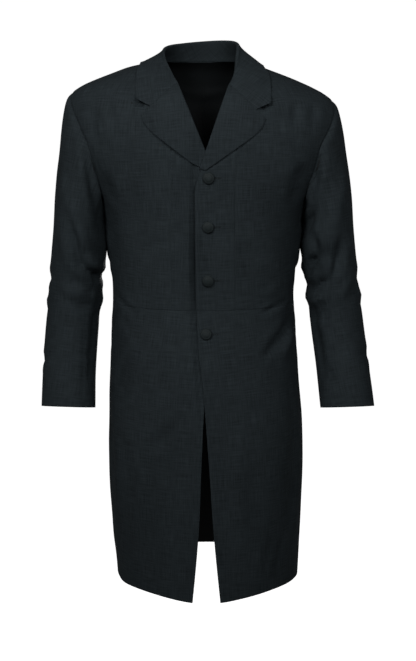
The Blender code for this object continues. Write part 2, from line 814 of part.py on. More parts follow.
def sleeve(side, ring):
    """The two parts of a sleeve, started from the marks round its armhole."""
    label = "left" if side > 0 else "right"
    edge = [worn(side, *mark) for mark in ring]
    out = [normal(side, *mark) for mark in ring]
    middle = sum(edge) / len(edge)
    count = len(ring)
    rows = CAP_ROWS + 2 * (len(SLEEVE["outer_x"]) - 1)
    points = np.zeros((rows + 1, count + 1, 3))
    first_normals = []
    turns = []
    for i in range(count):
        along = unit(edge[(i + 1) % count] - edge[i - 1])
        across = np.cross(out[i], along)
        if np.dot(across, middle - edge[i]) < 0:
            across = -across
        y = edge[i][1] - 0.004
        z = edge[i][2] + 0.163 + 0.010 * side
        turn = math.atan2(-y / 0.079, z / 0.112) % (2 * math.pi)
        turns.append(turn)
        target = sleeve_ring(side, 0, turn)
        aim = unit(target - edge[i]) + np.array((0.25 * side, 0.0, 0.0))
        outward = np.dot(aim, out[i])
        if outward < 0:
            aim = aim - outward * out[i]
            outward = 0.0
        aim = unit(aim)
        lean = math.atan2(np.dot(aim, out[i]), np.dot(aim, across))
        half = lean / 2
        start = edge[i] + ARM_GAP * math.cos(half) * across + ARM_LIFT * math.sin(half) * out[i]
        first_normals.append(math.cos(lean) * out[i] - math.sin(lean) * across)
        knots = [sleeve_ring(side, k, turn) for k in range(len(SLEEVE["outer_x"]))]
        length = np.linalg.norm(knots[0] - start)
        leave = aim * length * 0.55
        arrive = unit(knots[1] - start) * length * 1.1
        line = []
        for k in range(CAP_ROWS):
            t = (k / CAP_ROWS) ** 1.15
            line.append(
                start * (1 + 2 * t) * (1 - t) ** 2 + leave * t * (1 - t) ** 2
                + knots[0] * t * t * (3 - 2 * t) + arrive * t * t * (t - 1)
            )
        path = [start + (knots[0] - start) * 0.7] + knots + [2 * knots[-1] - knots[-2]]
        for k in range(1, len(knots)):
            a, b, c, d = path[k - 1], path[k], path[k + 1], path[k + 2]
            for t in (0.0, 0.5):
                line.append(
                    0.5 * (2 * b + (c - a) * t + (2 * a - 5 * b + 4 * c - d) * t * t
                           + (3 * b - a - 3 * c + d) * t**3)
                )
        line.append(knots[-1])
        points[:, i] = line
    points[:, count] = points[:, 0]
    raw = sleeve_normals(points, side)
    for j in range(rows + 1):
        for i in range(count + 1):
            rise = sleeve_rise(side, turns[i % count], j / rows)
            points[j, i] += rise * raw[j, i]
    directions = sleeve_normals(points, side)
    for i in range(count + 1):
        directions[0, i] = first_normals[i % count]
        directions[1, i] = unit(0.25 * directions[0, i] + 0.75 * directions[1, i])
    inner = points - CLOTH * directions
    top = list(range(SLEEVE_BACK_SEAM, count)) + list(range(0, SLEEVE_FRONT_SEAM + 1))
    under = list(range(SLEEVE_FRONT_SEAM, SLEEVE_BACK_SEAM + 1))
    for name, columns in (("top", top), ("under", under)):
        wall(
            f"sleeve_{name}_{label}", points[:, columns], inner[:, columns], side > 0,
            ("first_column", "last_column"),
        )


def sleeve_normals(points, side):
    """Outward directions of a sleeve's closed grid."""
    count = points.shape[1] - 1
    open_grid = points[:, :count]
    round_by = np.roll(open_grid, -1, axis=1) - np.roll(open_grid, 1, axis=1)
    down = np.gradient(open_grid, axis=0)
    out = np.cross(down, round_by) * side
    out = out / np.linalg.norm(out, axis=2)[:, :, None]
    return np.concatenate((out, out[:, :1]), axis=1)


# ---------------------------------------------------------------- lapels and collar
def sheet_normals(points):
    """Directions square to a grid of points."""
    rows = np.gradient(points, axis=0)
    columns = np.gradient(points, axis=1)
    out = np.cross(rows, columns)
    return out / np.linalg.norm(out, axis=2)[:, :, None]


def sheet(name, middle, material="wool"):
    """A closed wall with its cloth on both sides of a grid of middle points."""
    half = CLOTH / 2 * sheet_normals(middle)
    wall(name, middle + half, middle - half, True, (), material)


def fold(centre, inward, outward, radius):
    """Half circle of cloth round a roll, from below the centre to above it."""
    line = []
    for k in range(FOLD_STEPS + 1):
        angle = math.pi * k / FOLD_STEPS
        line.append(centre + radius * (math.sin(angle) * inward - math.cos(angle) * outward))
    return line


def bent_path(start, end, bend, t):
    """Place on the way from the roll to the leaf edge, by way of the notch when bent."""
    knee = 5 / 7
    straight = [start[k] + (end[k] - start[k]) * t for k in range(2)]
    if t < knee:
        by_notch = [start[k] + (NOTCH[k] - start[k]) * t / knee for k in range(2)]
    else:
        by_notch = [NOTCH[k] + (end[k] - NOTCH[k]) * (t - knee) / (1 - knee) for k in range(2)]
    return [straight[k] + (by_notch[k] - straight[k]) * bend for k in range(2)]


def lapel(side):
    label = "left" if side > 0 else "right"
    leaf_x = smooth_line(LAPEL_LEAF["along"], LAPEL_LEAF["x"])
    leaf_z = smooth_line(LAPEL_LEAF["along"], LAPEL_LEAF["z"])
    start_shift = EDGE_TOP[side][0] - EDGE_TOP[1][0]
    marks = [mark_xz(*roll_xz(side, k / LAPEL_ROWS)) for k in range(LAPEL_ROWS + 1)]
    edge = [worn(side, *mark) for mark in marks]
    grid = []
    for k in range(LAPEL_ROWS + 1):
        t = k / LAPEL_ROWS
        last = min(k + 1, LAPEL_ROWS)
        along = unit(edge[last] - edge[max(k - 1, 0)])
        out = normal(side, *marks[k])
        inward = unit(np.cross(along, out)) * side
        if inward[0] * side > 0:
            inward = -inward
        radius = BREAK_RADIUS + (FOLD_RADIUS - BREAK_RADIUS) * ease(t / 0.5)
        begin = edge[k] + SEAM_GAP * inward - CLOTH / 2 * out
        centre = begin + FOLD_RUN * inward + radius * out
        line = [begin] + fold(centre, inward, out, radius)
        rise = 2 * radius - CLOTH / 2
        start = roll_xz(side, t)
        end = (leaf_x(t) + start_shift * (1 - ease(t / 0.12)), leaf_z(t))
        bend = 1.0 if k == LAPEL_ROWS else (0.45 if k == LAPEL_ROWS - 1 else 0.0)
        for j in range(1, LEAF_STEPS + 1):
            f = j / LEAF_STEPS
            mark = mark_xz(*bent_path(start, end, bend, f))
            lift = rise + (LEAF_LIFT - rise) * ease(f)
            line.append(worn(side, *mark) + lift * normal(side, *mark))
        grid.append(line)
    grid = np.array(grid)
    pull = unit(grid[-2, 0] - grid[-1, 0])
    for j in range(grid.shape[1]):
        pull = unit(grid[-2, j] - grid[-1, j])
        grid[-1, j] += HALF_GAP * 1.6 * pull
    sheet(f"lapel_{label}", grid)


def collar():
    """Stand and fall in one, from the left gorge round the back to the right one."""
    roll = {
        name: smooth_line(COLLAR["station"], COLLAR[name])
        for name in ("roll_x", "roll_y", "roll_z", "up")
    }
    leaf_edge_x = smooth_line(LEAF_EDGE["z"], LEAF_EDGE["x"])
    leaf_knots = []
    for z, around in zip(COLLAR["leaf_z"], COLLAR["leaf_around"]):
        level = level_at(z)
        place = around if around > 0.95 else around_at_x(level, leaf_edge_x(z))
        leaf_knots.append((level, place))
    leaf_level = smooth_line(COLLAR["station"], [knot[0] for knot in leaf_knots])
    leaf_around = smooth_line(COLLAR["station"], [knot[1] for knot in leaf_knots])
    neck_level = level_at(NECK_Z)
    shoulder = COLLAR["station"][-1] / 2
    stations = [shoulder * k / NECK_ROWS for k in range(NECK_ROWS + 1)]
    stations += [shoulder * (1 + (k + 1) / NECK_COLUMNS) for k in range(NECK_COLUMNS)]
    halves = {}
    for side in (1, -1):
        seams = []
        rolls = []
        for k in range(COLLAR_ROWS + 1):
            if k <= NECK_ROWS:
                seams.append(neck_mark(k / NECK_ROWS))
            else:
                seams.append((neck_level, 1 + (k - NECK_ROWS) / NECK_COLUMNS))
            s = stations[k]
            rolls.append(posture((side * roll["roll_x"](s), roll["roll_y"](s), roll["roll_z"](s))))
        edge = [worn(side, *mark) for mark in seams]
        lines = []
        for k in range(COLLAR_ROWS + 1):
            if k == COLLAR_ROWS:
                along = np.array((-1.0 * side, 0.0, 0.0))
                roll_along = along
            else:
                along = unit(edge[k + 1] - edge[max(k - 1, 0)])
                roll_along = unit(rolls[k + 1] - rolls[max(k - 1, 0)])
            out = normal(side, *seams[k])
            inward = unit(np.cross(along, out)) * side
            if np.dot(inward, np.array((0, 0.0, 0.03)) - edge[k]) < 0:
                inward = -inward
            rising = min(max(roll["up"](stations[k]), 0.0), 1.0)
            if k == 0:
                roll_along = along
            over = (1 - rising) * inward + rising * np.array((-0.12 * side, 0.0, 1.0))
            over = unit(over - np.dot(over, roll_along) * roll_along)
            beyond = np.cross(roll_along, over)
            beyond = unit(beyond)
            if np.dot(beyond, out) < 0 and rising < 0.5:
                beyond = -beyond
            if rising >= 0.5 and np.dot(beyond[:2], rolls[k][:2]) < 0:
                beyond = -beyond
            radius = FOLD_RADIUS + 0.0008 * rising
            begin = edge[k] + (SEAM_GAP + math.sqrt(rising) * CLOTH / 2) * inward - CLOTH / 2 * out
            flat_centre = begin + FOLD_RUN * inward + radius * out
            centre = flat_centre if k == 0 else rolls[k] - radius * over
            arc = fold(centre, over, beyond, radius)
            climb = unit((1 - rising) * inward + rising * np.array((0, 0, 1.0)))
            reach = np.linalg.norm(arc[0] - begin)
            line = []
            for j in range(STAND_STEPS):
                t = j / STAND_STEPS
                leave = climb * reach * 0.8
                arrive = over * reach * 0.8
                line.append(
                    begin * (1 + 2 * t) * (1 - t) ** 2 + leave * t * (1 - t) ** 2
                    + arc[0] * t * t * (3 - 2 * t) + arrive * t * t * (t - 1)
                )
            line += arc
            leaf = (leaf_level(stations[k]), leaf_around(stations[k]))
            rise = 2 * radius - CLOTH / 2
            low_end = worn(side, *leaf) + LEAF_LIFT * normal(side, *leaf)
            free = ease(stations[k] / 2.5)
            bend = (1.0, 0.35)[k] if k < 2 else 0.0
            span = np.linalg.norm(low_end - arc[-1])
            for j in range(1, LEAF_STEPS + 1):
                t = j / LEAF_STEPS
                if k < 2:
                    seam_x, _, seam_z = form(*seams[k])
                    end_x, _, end_z = form(*leaf)
                    mark = mark_xz(*bent_path((seam_x, seam_z), (end_x, end_z), bend, t))
                else:
                    mark = (
                        seams[k][0] + (leaf[0] - seams[k][0]) * t,
                        seams[k][1] + (leaf[1] - seams[k][1]) * t,
                    )
                lift = rise + (LEAF_LIFT - rise) * ease(t)
                lying = worn(side, *mark) + lift * normal(side, *mark)
                leave = (beyond * 0.3 - over) * span * 0.5
                arrive = unit(low_end - arc[-1]) * span
                hanging = (
                    arc[-1] * (1 + 2 * t) * (1 - t) ** 2 + leave * t * (1 - t) ** 2
                    + low_end * t * t * (3 - 2 * t) + arrive * t * t * (t - 1)
                )
                clear = LEAF_LIFT + BESIDE_GAP * 1.5 * free
                short = clear - np.dot(hanging - worn(side, *mark), normal(side, *mark))
                hanging = hanging + max(short, 0.0) * normal(side, *mark)
                line.append(lying + (hanging - lying) * free)
            lines.append(line)
        lines = np.array(lines)
        for j in range(lines.shape[1]):
            pull = unit(lines[1, j] - lines[0, j])
            lines[0, j] += HALF_GAP * 1.6 * pull
        halves[side] = lines
    halves[-1][-1] = (halves[1][-1] + halves[-1][-1]) / 2
    middle = np.concatenate((halves[1][:-1], halves[-1][::-1]))
    sheet("collar", middle)


# ---------------------------------------------------------------- buttons
def button(number, x, z):
    """A covered button, turned from a profile and laid on the over front."""
    mark = mark_xz(x, z)
    out = normal(1, *mark)
    place = worn(1, *mark) + BESIDE_GAP * out
    profile = [
        (0.00, 0.00), (0.86, 0.00), (0.97, 0.14), (1.00, 0.32), (0.93, 0.56),
        (0.72, 0.80), (0.40, 0.95), (0.00, 1.00),
    ]
    side_axis = unit(np.cross(np.array((0.0, 0.0, 1.0)), out))
    up_axis = np.cross(out, side_axis)
    points = [tuple(place)]
    rings = []
    for radius, height in profile[1:-1]:
        ring = []
        for step in range(BUTTON_STEPS):
            angle = 2 * math.pi * step / BUTTON_STEPS
            spoke = math.cos(angle) * side_axis + math.sin(angle) * up_axis
            ring.append(len(points))
            points.append(tuple(
                place + BUTTON_RADIUS * radius * spoke + BUTTON_HEIGHT * height * out
            ))
        rings.append(ring)
    top = len(points)
    points.append(tuple(place + BUTTON_HEIGHT * out))
    faces = []
    for step in range(BUTTON_STEPS):
        after = (step + 1) % BUTTON_STEPS
        faces.append((0, rings[0][after], rings[0][step]))
        for low, high in zip(rings, rings[1:]):
            faces.append((low[step], low[after], high[after], high[step]))
        faces.append((rings[-1][step], rings[-1][after], top))
    mesh = bpy.data.meshes.new(f"button_{number}")
    mesh.from_pydata(points, [], faces)
    mesh.update()
    return add_object(f"button_{number}", mesh, "button_cloth")


# ---------------------------------------------------------------- the coat
def build():
    global collection
    for thing in list(bpy.data.objects):
        bpy.data.objects.remove(thing, do_unlink=True)
    collection = bpy.data.collections.new(COLLECTION)
    bpy.context.scene.collection.children.link(collection)
    for name in MATERIALS:
        materials[name] = make_material(name)

    beside_arm = side_marks()
    for side, label in ((1, "left"), (-1, "right")):
        back = back_marks(side)
        centre, beside = front_marks(side)
        panel(f"front_centre_{label}", side, centre,
              ("first_row", "last_row", "first_column", "last_column"))
        panel(f"front_side_{label}", side, beside,
              ("first_row", "last_row", "first_column", "last_column"))
        panel(f"side_body_{label}", side, beside_arm,
              ("first_row", "last_row", "first_column", "last_column"))
        panel(f"back_{label}", side, back, ("last_row", "first_column", "last_column"))
        waist_line = centre[0] + beside[0][1:] + beside_arm[0][1:]
        panel(f"skirt_{label}", side, skirt_marks(side, waist_line),
              ("last_row", "last_column"))
        ring = [row[-1] for row in reversed(beside[SEAM_ROWS:])]
        ring += beside_arm[-1][1:]
        ring += [row[0] for row in back[SKIRT_ROWS + SEAM_ROWS + 1:-1]]
        sleeve(side, ring)
        lapel(side)
    collar()
    for number, (x, z) in enumerate(zip(BUTTONS["x"], BUTTONS["z"]), start=1):
        button(number, x, z)


build()
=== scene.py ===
# %% [markdown]
# # A frock coat, dressed over its solid model
# This notebook turns the plain solids of a knee-length coat into cloth. The solids give the
# cut: fronts, side panels, backs, skirts, sleeves, lapels, collar and four covered buttons.
# Each is replaced by a thin, finely divided shell on the same form, with its folds pressed in,
# a woven finish, rounded edges and a lining colour inside. The frame is loaded first.

# %% Load the frame
import math

import bpy
import numpy as np
from mathutils import Matrix, Vector, kdtree, noise
from mathutils.bvhtree import BVHTree


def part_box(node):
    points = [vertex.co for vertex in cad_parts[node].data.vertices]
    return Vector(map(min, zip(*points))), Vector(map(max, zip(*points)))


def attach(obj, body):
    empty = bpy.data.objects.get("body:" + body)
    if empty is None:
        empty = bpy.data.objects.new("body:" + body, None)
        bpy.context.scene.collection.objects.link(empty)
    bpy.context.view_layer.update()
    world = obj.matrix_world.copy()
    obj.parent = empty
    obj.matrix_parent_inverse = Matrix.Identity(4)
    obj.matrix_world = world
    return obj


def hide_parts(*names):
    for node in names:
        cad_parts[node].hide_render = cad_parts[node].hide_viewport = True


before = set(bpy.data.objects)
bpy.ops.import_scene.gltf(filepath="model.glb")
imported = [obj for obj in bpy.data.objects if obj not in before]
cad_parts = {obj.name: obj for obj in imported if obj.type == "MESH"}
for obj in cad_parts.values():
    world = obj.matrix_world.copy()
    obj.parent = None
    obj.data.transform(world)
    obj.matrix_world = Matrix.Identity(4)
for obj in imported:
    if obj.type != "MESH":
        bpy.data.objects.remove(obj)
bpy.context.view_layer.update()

# %% [markdown]
# An operator acts on all that is selected, and the solids arrive selected. A helper therefore
# clears the selection, then selects and activates the one piece to be worked on. A second one
# also opens the piece for editing.


# %% Work on one piece at a time
def only(piece):
    """Makes one piece the active and only selected object."""
    if bpy.context.mode != "OBJECT":
        bpy.ops.object.mode_set(mode="OBJECT")
    bpy.ops.object.select_all(action="DESELECT")
    piece.select_set(True)
    bpy.context.view_layer.objects.active = piece


def edit_all(piece):
    """Opens one piece for editing, with all of it selected."""
    only(piece)
    bpy.ops.object.mode_set(mode="EDIT")
    bpy.ops.mesh.select_all(action="SELECT")


print(len(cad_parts), "solids loaded")

# %% [markdown]
# Here are the cloth pieces. Each row gives the solid, a direction from which its good side is
# seen, the width of the narrow band that is marked off inside its seams, the way it is held
# and what it rests on. A tailor cuts these pieces flat and sews them on a figure.

# %% The cloth pieces
FRONT, BACK = (0, -1, 0), (0, 1, 0)
OUT = {"left": (1, 0, 0), "right": (-1, 0, 0)}
IN = {"left": (-1, 0, 0), "right": (1, 0, 0)}
SEAM_BAND = 0.0045
CLOTH_WALL = 0.0019

CLOTH_PIECES = []
for side in ("left", "right"):
    front, back = f"front_side_{side}_cloth", f"back_{side}_cloth"
    CLOTH_PIECES += [
        (f"front_centre_{side}", FRONT, SEAM_BAND, "hung", [front]),
        (f"front_side_{side}", FRONT, SEAM_BAND, "hung", [back]),
        (f"side_body_{side}", OUT[side], SEAM_BAND, "hung", [front]),
        (f"back_{side}", BACK, SEAM_BAND, "hung", ["collar_cloth"]),
        (f"skirt_{side}", FRONT, SEAM_BAND, "hung", [front]),
        (f"sleeve_top_{side}", OUT[side], SEAM_BAND, "hung", [front]),
        (f"sleeve_under_{side}", IN[side], SEAM_BAND, "hung", [back]),
        (f"lapel_{side}", FRONT, 0.0, "folded", [front]),
    ]
CLOTH_PIECES.append(("collar", BACK, 0.0, "folded", ["back_left_cloth"]))
print(len(CLOTH_PIECES), "cloth pieces")

# %% [markdown]
# A solid is a closed wall: a good side, a wrong side and narrow rims. Only the good side is
# needed, because a modifier gives the wall back later. The copy is merged first, because the
# frame holds loose triangles. One face of the good side is picked, and Blender selects all
# faces that join it without a sharp bend, which stops at the rims. Pairs of triangles are then
# joined to four-sided faces, which divide into smooth cloth.

# %% Take the good side of a solid
SAME_POINT = 0.00001
FACES_VIEWER = 0.8
RIM_BEND = math.radians(52)
QUAD_BEND, QUAD_SHAPE = math.radians(60), math.radians(120)


def in_scene(name, data):
    """A new object in the scene, with its data under the same name."""
    piece = bpy.data.objects.new(name, data)
    piece.data.name = name
    bpy.context.scene.collection.objects.link(piece)
    return piece


def good_side(node, seen_from):
    """A new piece with only the outer faces of a solid, in four-sided faces."""
    piece = in_scene(f"{node}_cloth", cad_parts[node].data.copy())
    edit_all(piece)
    bpy.ops.mesh.select_mode(type="FACE")
    bpy.ops.mesh.remove_doubles(threshold=SAME_POINT)
    bpy.ops.mesh.select_all(action="DESELECT")
    bpy.ops.object.mode_set(mode="OBJECT")
    view = Vector(seen_from)
    facing = [face for face in piece.data.polygons if face.normal.dot(view) > FACES_VIEWER]
    start = max(facing, key=lambda face: face.center.dot(view) + face.area)
    start.select = True
    piece.data.polygons.active = start.index
    bpy.ops.object.mode_set(mode="EDIT")
    bpy.ops.mesh.faces_select_linked_flat(sharpness=RIM_BEND)
    bpy.ops.mesh.select_all(action="INVERT")
    bpy.ops.mesh.delete(type="FACE")
    bpy.ops.mesh.select_all(action="SELECT")
    bpy.ops.mesh.tris_convert_to_quads(
        face_threshold=QUAD_BEND, shape_threshold=QUAD_SHAPE, topology_influence=1.0)
    bpy.ops.object.mode_set(mode="OBJECT")
    piece.data.materials.clear()
    return piece


def face_count():
    """How many faces all panels have."""
    return sum(len(panel.data.polygons) for panel in panels.values())


panels = {node: good_side(node, seen_from) for node, seen_from, *_ in CLOTH_PIECES}
print("good sides have", face_count(), "faces")

# %% [markdown]
# The solids stand a hair apart at their seams, so that they never overlap. Sewn cloth meets
# there, and light would shine through the gap. So the border of each panel is moved outward,
# in its own plane, by rather more than half of the gap. The way out is the direction from
# the middle of the border's face to its edge, square to that edge.

# %% Let the edges meet
SEAM_GROW = 0.00025


def border_edges(mesh):
    """The edges that belong to one face only, as pairs of points."""
    uses = {}
    for face in mesh.polygons:
        for key in face.edge_keys:
            uses[key] = uses.get(key, 0) + 1
    return [key for key, times in uses.items() if times == 1]


def grow_edges(piece):
    """Moves the border of a panel outward in its own plane."""
    mesh = piece.data
    border = set(border_edges(mesh))
    ways = {}
    for face in mesh.polygons:
        for key in face.edge_keys:
            if key not in border:
                continue
            start, end = (mesh.vertices[i].co for i in key)
            along = (end - start).normalized()
            way = (start + end) / 2 - face.center
            way = (way - along * way.dot(along)).normalized()
            for point in key:
                ways[point] = ways.get(point, Vector()) + way
    for point, way in ways.items():
        mesh.vertices[point].co += way.normalized() * SEAM_GROW


for panel in panels.values():
    grow_edges(panel)
print("borders moved out by", SEAM_GROW, "m")

# %% [markdown]
# Dividing the panels into finer faces would round off their corners, such as the tip of a
# lapel. The points where a border turns sharply get a full crease, which keeps them in place.

# %% Keep the corners
CORNER_TURN = math.radians(32)


def keep_corners(mesh):
    """Creases the points where the border of a panel turns sharply."""
    beside = {}
    for a, b in border_edges(mesh):
        beside.setdefault(a, []).append(b)
        beside.setdefault(b, []).append(a)
    crease = mesh.attributes.get("crease_vert")
    if crease is None:
        crease = mesh.attributes.new("crease_vert", "FLOAT", "POINT")
    values = np.zeros(len(mesh.vertices))
    for point, nearby in beside.items():
        middle = mesh.vertices[point].co
        arriving = middle - mesh.vertices[nearby[0]].co
        leaving = mesh.vertices[nearby[1]].co - middle
        if len(nearby) > 2 or arriving.angle(leaving) > CORNER_TURN:
            values[point] = 1.0
    crease.data.foreach_set("value", values)
    return int(values.sum())


print("corners kept on the collar:", keep_corners(panels["collar"].data))

# %% [markdown]
# Subdivision rounds a coarse net of faces, but it pulls the surface away from the net's points,
# which would shrink the coat and open its seams. So the net is first pushed out by what the
# smooth surface falls short of it, a few times over, and then divided. No point is pushed
# further than a share of its shortest edge, because past its neighbour it would fold the cloth.

# %% Divide without shrinking
PUSHES, PUSH, COARSE_ROOM = 6, 1.2, 1.0


def shortest_edges(mesh):
    """The length of the shortest edge at each point."""
    result = np.ones(len(mesh.vertices))
    for edge in mesh.edges:
        a, b = edge.vertices
        length = (mesh.vertices[a].co - mesh.vertices[b].co).length
        result[a], result[b] = min(result[a], length), min(result[b], length)
    return result


def divide(piece, share):
    """Halves the faces of a panel, which still passes through its first points."""
    keep_corners(piece.data)
    only(piece)
    modifier = piece.modifiers.new("divide", "SUBSURF")
    modifier.levels = modifier.render_levels = 1
    modifier.boundary_smooth = "PRESERVE_CORNERS"
    count = len(piece.data.vertices)
    wanted = np.array([vertex.co for vertex in piece.data.vertices])
    points = wanted.copy()
    room = share * shortest_edges(piece.data)
    for _ in range(PUSHES):
        graph = bpy.context.evaluated_depsgraph_get()
        smooth = piece.evaluated_get(graph).data
        reached = np.array([smooth.vertices[i].co for i in range(count)])
        points += (wanted - reached) * PUSH
        moved = np.linalg.norm(points - wanted, axis=1)
        points = wanted + (points - wanted) * np.minimum(1, room / (moved + 1e-9))[:, None]
        piece.data.vertices.foreach_set("co", points.ravel())
        piece.data.update()
    bpy.ops.object.modifier_apply(modifier=modifier.name)
    return float(np.linalg.norm(wanted - reached, axis=1).max())


misses = [divide(panel, COARSE_ROOM) for panel in panels.values()]
print(f"divided once, off by {max(misses) * 1000:.2f} mm at most")

# %% [markdown]
# Sewn cloth is stiffer beside a seam, where its edge is folded under. A narrow band is set in
# along the border of each panel, which gives fine faces for the rounded seam and its low
# ridge. The turned collar and lapels already have narrow faces.

# %% Mark off a band along the seams
for node, _, band, *_ in CLOTH_PIECES:
    if band > 0:
        edit_all(panels[node])
        bpy.ops.mesh.inset(thickness=band, use_boundary=True, use_even_offset=True)
        bpy.ops.object.mode_set(mode="OBJECT")
print(face_count(), "faces with the bands")

# %% [markdown]
# The weave has to follow the threads, so each panel gets its own flat pattern. Unwrapping lays
# the panel flat, as it was cut. The pattern is scaled until one unit is one metre, and turned
# until its upright direction runs up the coat. The smallest rectangle that holds it, and its
# area, are the size it was cut to, and they are kept.

# %% Lay each panel flat
PATTERN = "cut_pattern"


def turned(flat, angle):
    """Flat points turned round the origin."""
    cosine, sine = math.cos(angle), math.sin(angle)
    return flat @ np.array([[cosine, sine], [-sine, cosine]])


def flat_pattern(piece):
    """Unwraps a panel to metres, upright. Returns its flat width, length and area."""
    mesh = piece.data
    while mesh.uv_layers:
        mesh.uv_layers.remove(mesh.uv_layers[0])
    mesh.uv_layers.new(name=PATTERN)
    edit_all(piece)
    bpy.ops.uv.unwrap(method="ANGLE_BASED", margin=0.0)
    bpy.ops.object.mode_set(mode="OBJECT")
    layer = mesh.uv_layers[PATTERN].data
    flat = np.array([corner.uv for corner in layer])
    flat_area = 0.0
    climb = np.zeros(2)
    for face in mesh.polygons:
        ring = flat[list(face.loop_indices)]
        after = np.roll(ring, -1, axis=0)
        flat_area += abs(np.sum(ring[:, 0] * after[:, 1] - ring[:, 1] * after[:, 0])) / 2
        rises = [mesh.vertices[corner].co.z for corner in face.vertices]
        table = np.column_stack((ring, np.ones(len(ring))))
        climb += face.area * np.linalg.lstsq(table, rises, rcond=None)[0][:2]
    real_area = sum(face.area for face in mesh.polygons)
    flat = flat * math.sqrt(real_area / flat_area)
    flat = turned(flat, math.pi / 2 - math.atan2(climb[1], climb[0]))
    flat = flat - flat.min(axis=0)
    layer.foreach_set("uv", flat.ravel())
    boxes = [np.ptp(turned(flat, math.radians(angle)), axis=0) for angle in range(90)]
    width, length = sorted(min(boxes, key=lambda box: box[0] * box[1]))
    return float(width), float(length), float(real_area)


flat_sizes = {node: flat_pattern(panel) for node, panel in panels.items()}
for node, (width, length, area) in flat_sizes.items():
    print(f"{node}: {width:.3f} x {length:.3f} m flat, {area:.4f} square metres")

# %% [markdown]
# Dividing once more gives faces small enough for the finest folds. The faces beside a seam
# are narrow now and could be pushed over each other, so this time no point moves by more than
# a small share of its shortest edge.

# %% Divide once more
FINE_ROOM = 0.12
misses = [divide(panel, FINE_ROOM) for panel in panels.values()]
print(f"{face_count()} faces, off by {max(misses) * 1000:.2f} mm at most")

# %% [markdown]
# Folds come from the way a coat is worn. Cloth drags from the armholes, breaks at the elbows,
# is pulled in at the waist and hangs in soft hollows over the hips. Each fold is drawn as a
# stroke, as on paper, and all are uneven on purpose, because even folds look machine made.
# A table holds the strokes of one part that are seen from one side. A row has half the width
# of a stroke, its rise, with minus for a hollow, and its points, all in millimetres. A point
# has its place across the coat, or its depth in a view from the side, and its height.

# %% Folds of the body
FOLDS = []


def add_folds(part, seen_from, rows):
    """Adds the strokes of one part that are seen from one side, turned to metres."""
    for half_width, rise, *path in rows:
        path = [(across / 1000, height / 1000) for across, height in path]
        FOLDS.append((part, seen_from, path, half_width / 1000, rise / 1000))


add_folds("body", "front", [
    (7.5, -4.4, (-187, -50), (-178, -73), (-168, -108)),
    (10, -4.4, (-214, -70), (-211, -100), (-205, -142)),
    (7.5, -4.2, (181, -58), (175, -85), (180, -139)),
    (8, -4, (211, -66), (211, -87), (213, -116)),
    (13, -6.5, (194, -182), (186, -214), (172, -262)),
    (11, -3.6, (-196, -190), (-186, -225), (-172, -262)),
    (8.8, -8.5, (184, -474), (152, -517), (114, -556)),
    (5, -3.4, (172, -446), (141, -458), (108, -472)),
    (5, -3.4, (176, -464), (154, -484), (128, -496)),
    (8, 4.6, (178, -512), (165, -540), (146, -572)),
    (9, 1.6, (160, -404), (138, -425), (112, -436)),
    (9, -4.8, (-92, -556), (-122, -604), (-152, -648)),
    (12, -4.4, (-32, -655), (-57, -690), (-90, -720), (-128, -734)),
    (11, 6.2, (-184, -700), (-171, -762), (-167, -823), (-173, -890)),
    (11, -2, (-158, -720), (-146, -780), (-146, -850)),
    (6, -2.1, (135, -905), (126, -951), (116, -995)),
    (6, -2.3, (158, -915), (151, -955), (146, -990)),
    (5, -1.3, (96, -940), (92, -985)),
    (6, -2.9, (-171, -442), (-155, -457), (-132, -470)),
    (7, -2.1, (-168, -480), (-148, -500), (-120, -530)),
    (8, -1.6, (50, -222), (36, -249), (20, -276)),
    (14, -1.8, (-50, -300), (-85, -330), (-128, -345)),
    (14, -1.8, (60, -330), (100, -350), (140, -352)),
    (13, -1.8, (34, -560), (74, -600), (118, -622)),
    (16, 2.6, (78, -680), (70, -800), (82, -930)),
    (16, 2.3, (-72, -790), (-78, -880), (-74, -980)),
    (11, -2.1, (-120, -880), (-116, -950), (-118, -1010)),
    (13, -1.6, (24, -700), (36, -800), (44, -900)),
])
add_folds("body", "left", [
    (10, -3.9, (-60, -470), (-20, -520), (10, -600)),
    (11, -3.4, (20, -450), (34, -520), (26, -640)),
    (17, 2.2, (-10, -640), (6, -780), (2, -960)),
    (15, -5.2, (70, -560), (82, -720), (90, -930)),
    (15, -3.4, (-90, -600), (-80, -760), (-94, -950)),
    (9, -2.9, (-40, -360), (0, -400), (44, -420)),
    (30, 6.2, (-10, -236), (-1, -321), (0, -405)),
])
add_folds("body", "right", [
    (10, -3.6, (-70, -474), (-26, -512), (4, -580)),
    (11, -3.6, (26, -452), (30, -540), (40, -660)),
    (17, 2, (-4, -660), (10, -800), (-4, -980)),
    (15, -5.5, (74, -580), (80, -740), (96, -960)),
    (9, -2.6, (-40, -352), (4, -388), (48, -400)),
    (30, 6.4, (-12, -236), (-4, -321), (-2, -405)),
])
add_folds("body", "back", [
    (10, -4.2, (176, -190), (152, -240), (120, -276)),
    (10, -3.9, (-178, -182), (-156, -236), (-122, -282)),
    (12, -2.6, (160, -120), (140, -170), (128, -230)),
    (12, -2.9, (-166, -126), (-146, -176), (-130, -224)),
    (9, -1.8, (-60, -40), (0, -52), (58, -42)),
    (8, -3.1, (14, -410), (50, -424), (96, -410)),
    (8, -2.9, (-18, -424), (-56, -438), (-98, -420)),
    (10, -2.1, (20, -370), (62, -386), (110, -366)),
    (10, -2.3, (-16, -380), (-64, -392), (-104, -376)),
    (19, 4.4, (50, -520), (56, -700), (48, -930)),
    (19, 4.2, (-46, -540), (-58, -720), (-52, -950)),
    (11, -3.4, (24, -600), (22, -800), (26, -1000)),
    (13, -4.7, (-84, -560), (-92, -760), (-96, -990)),
    (13, -4.7, (88, -550), (94, -780), (98, -980)),
])
print(len(FOLDS), "folds of the body")

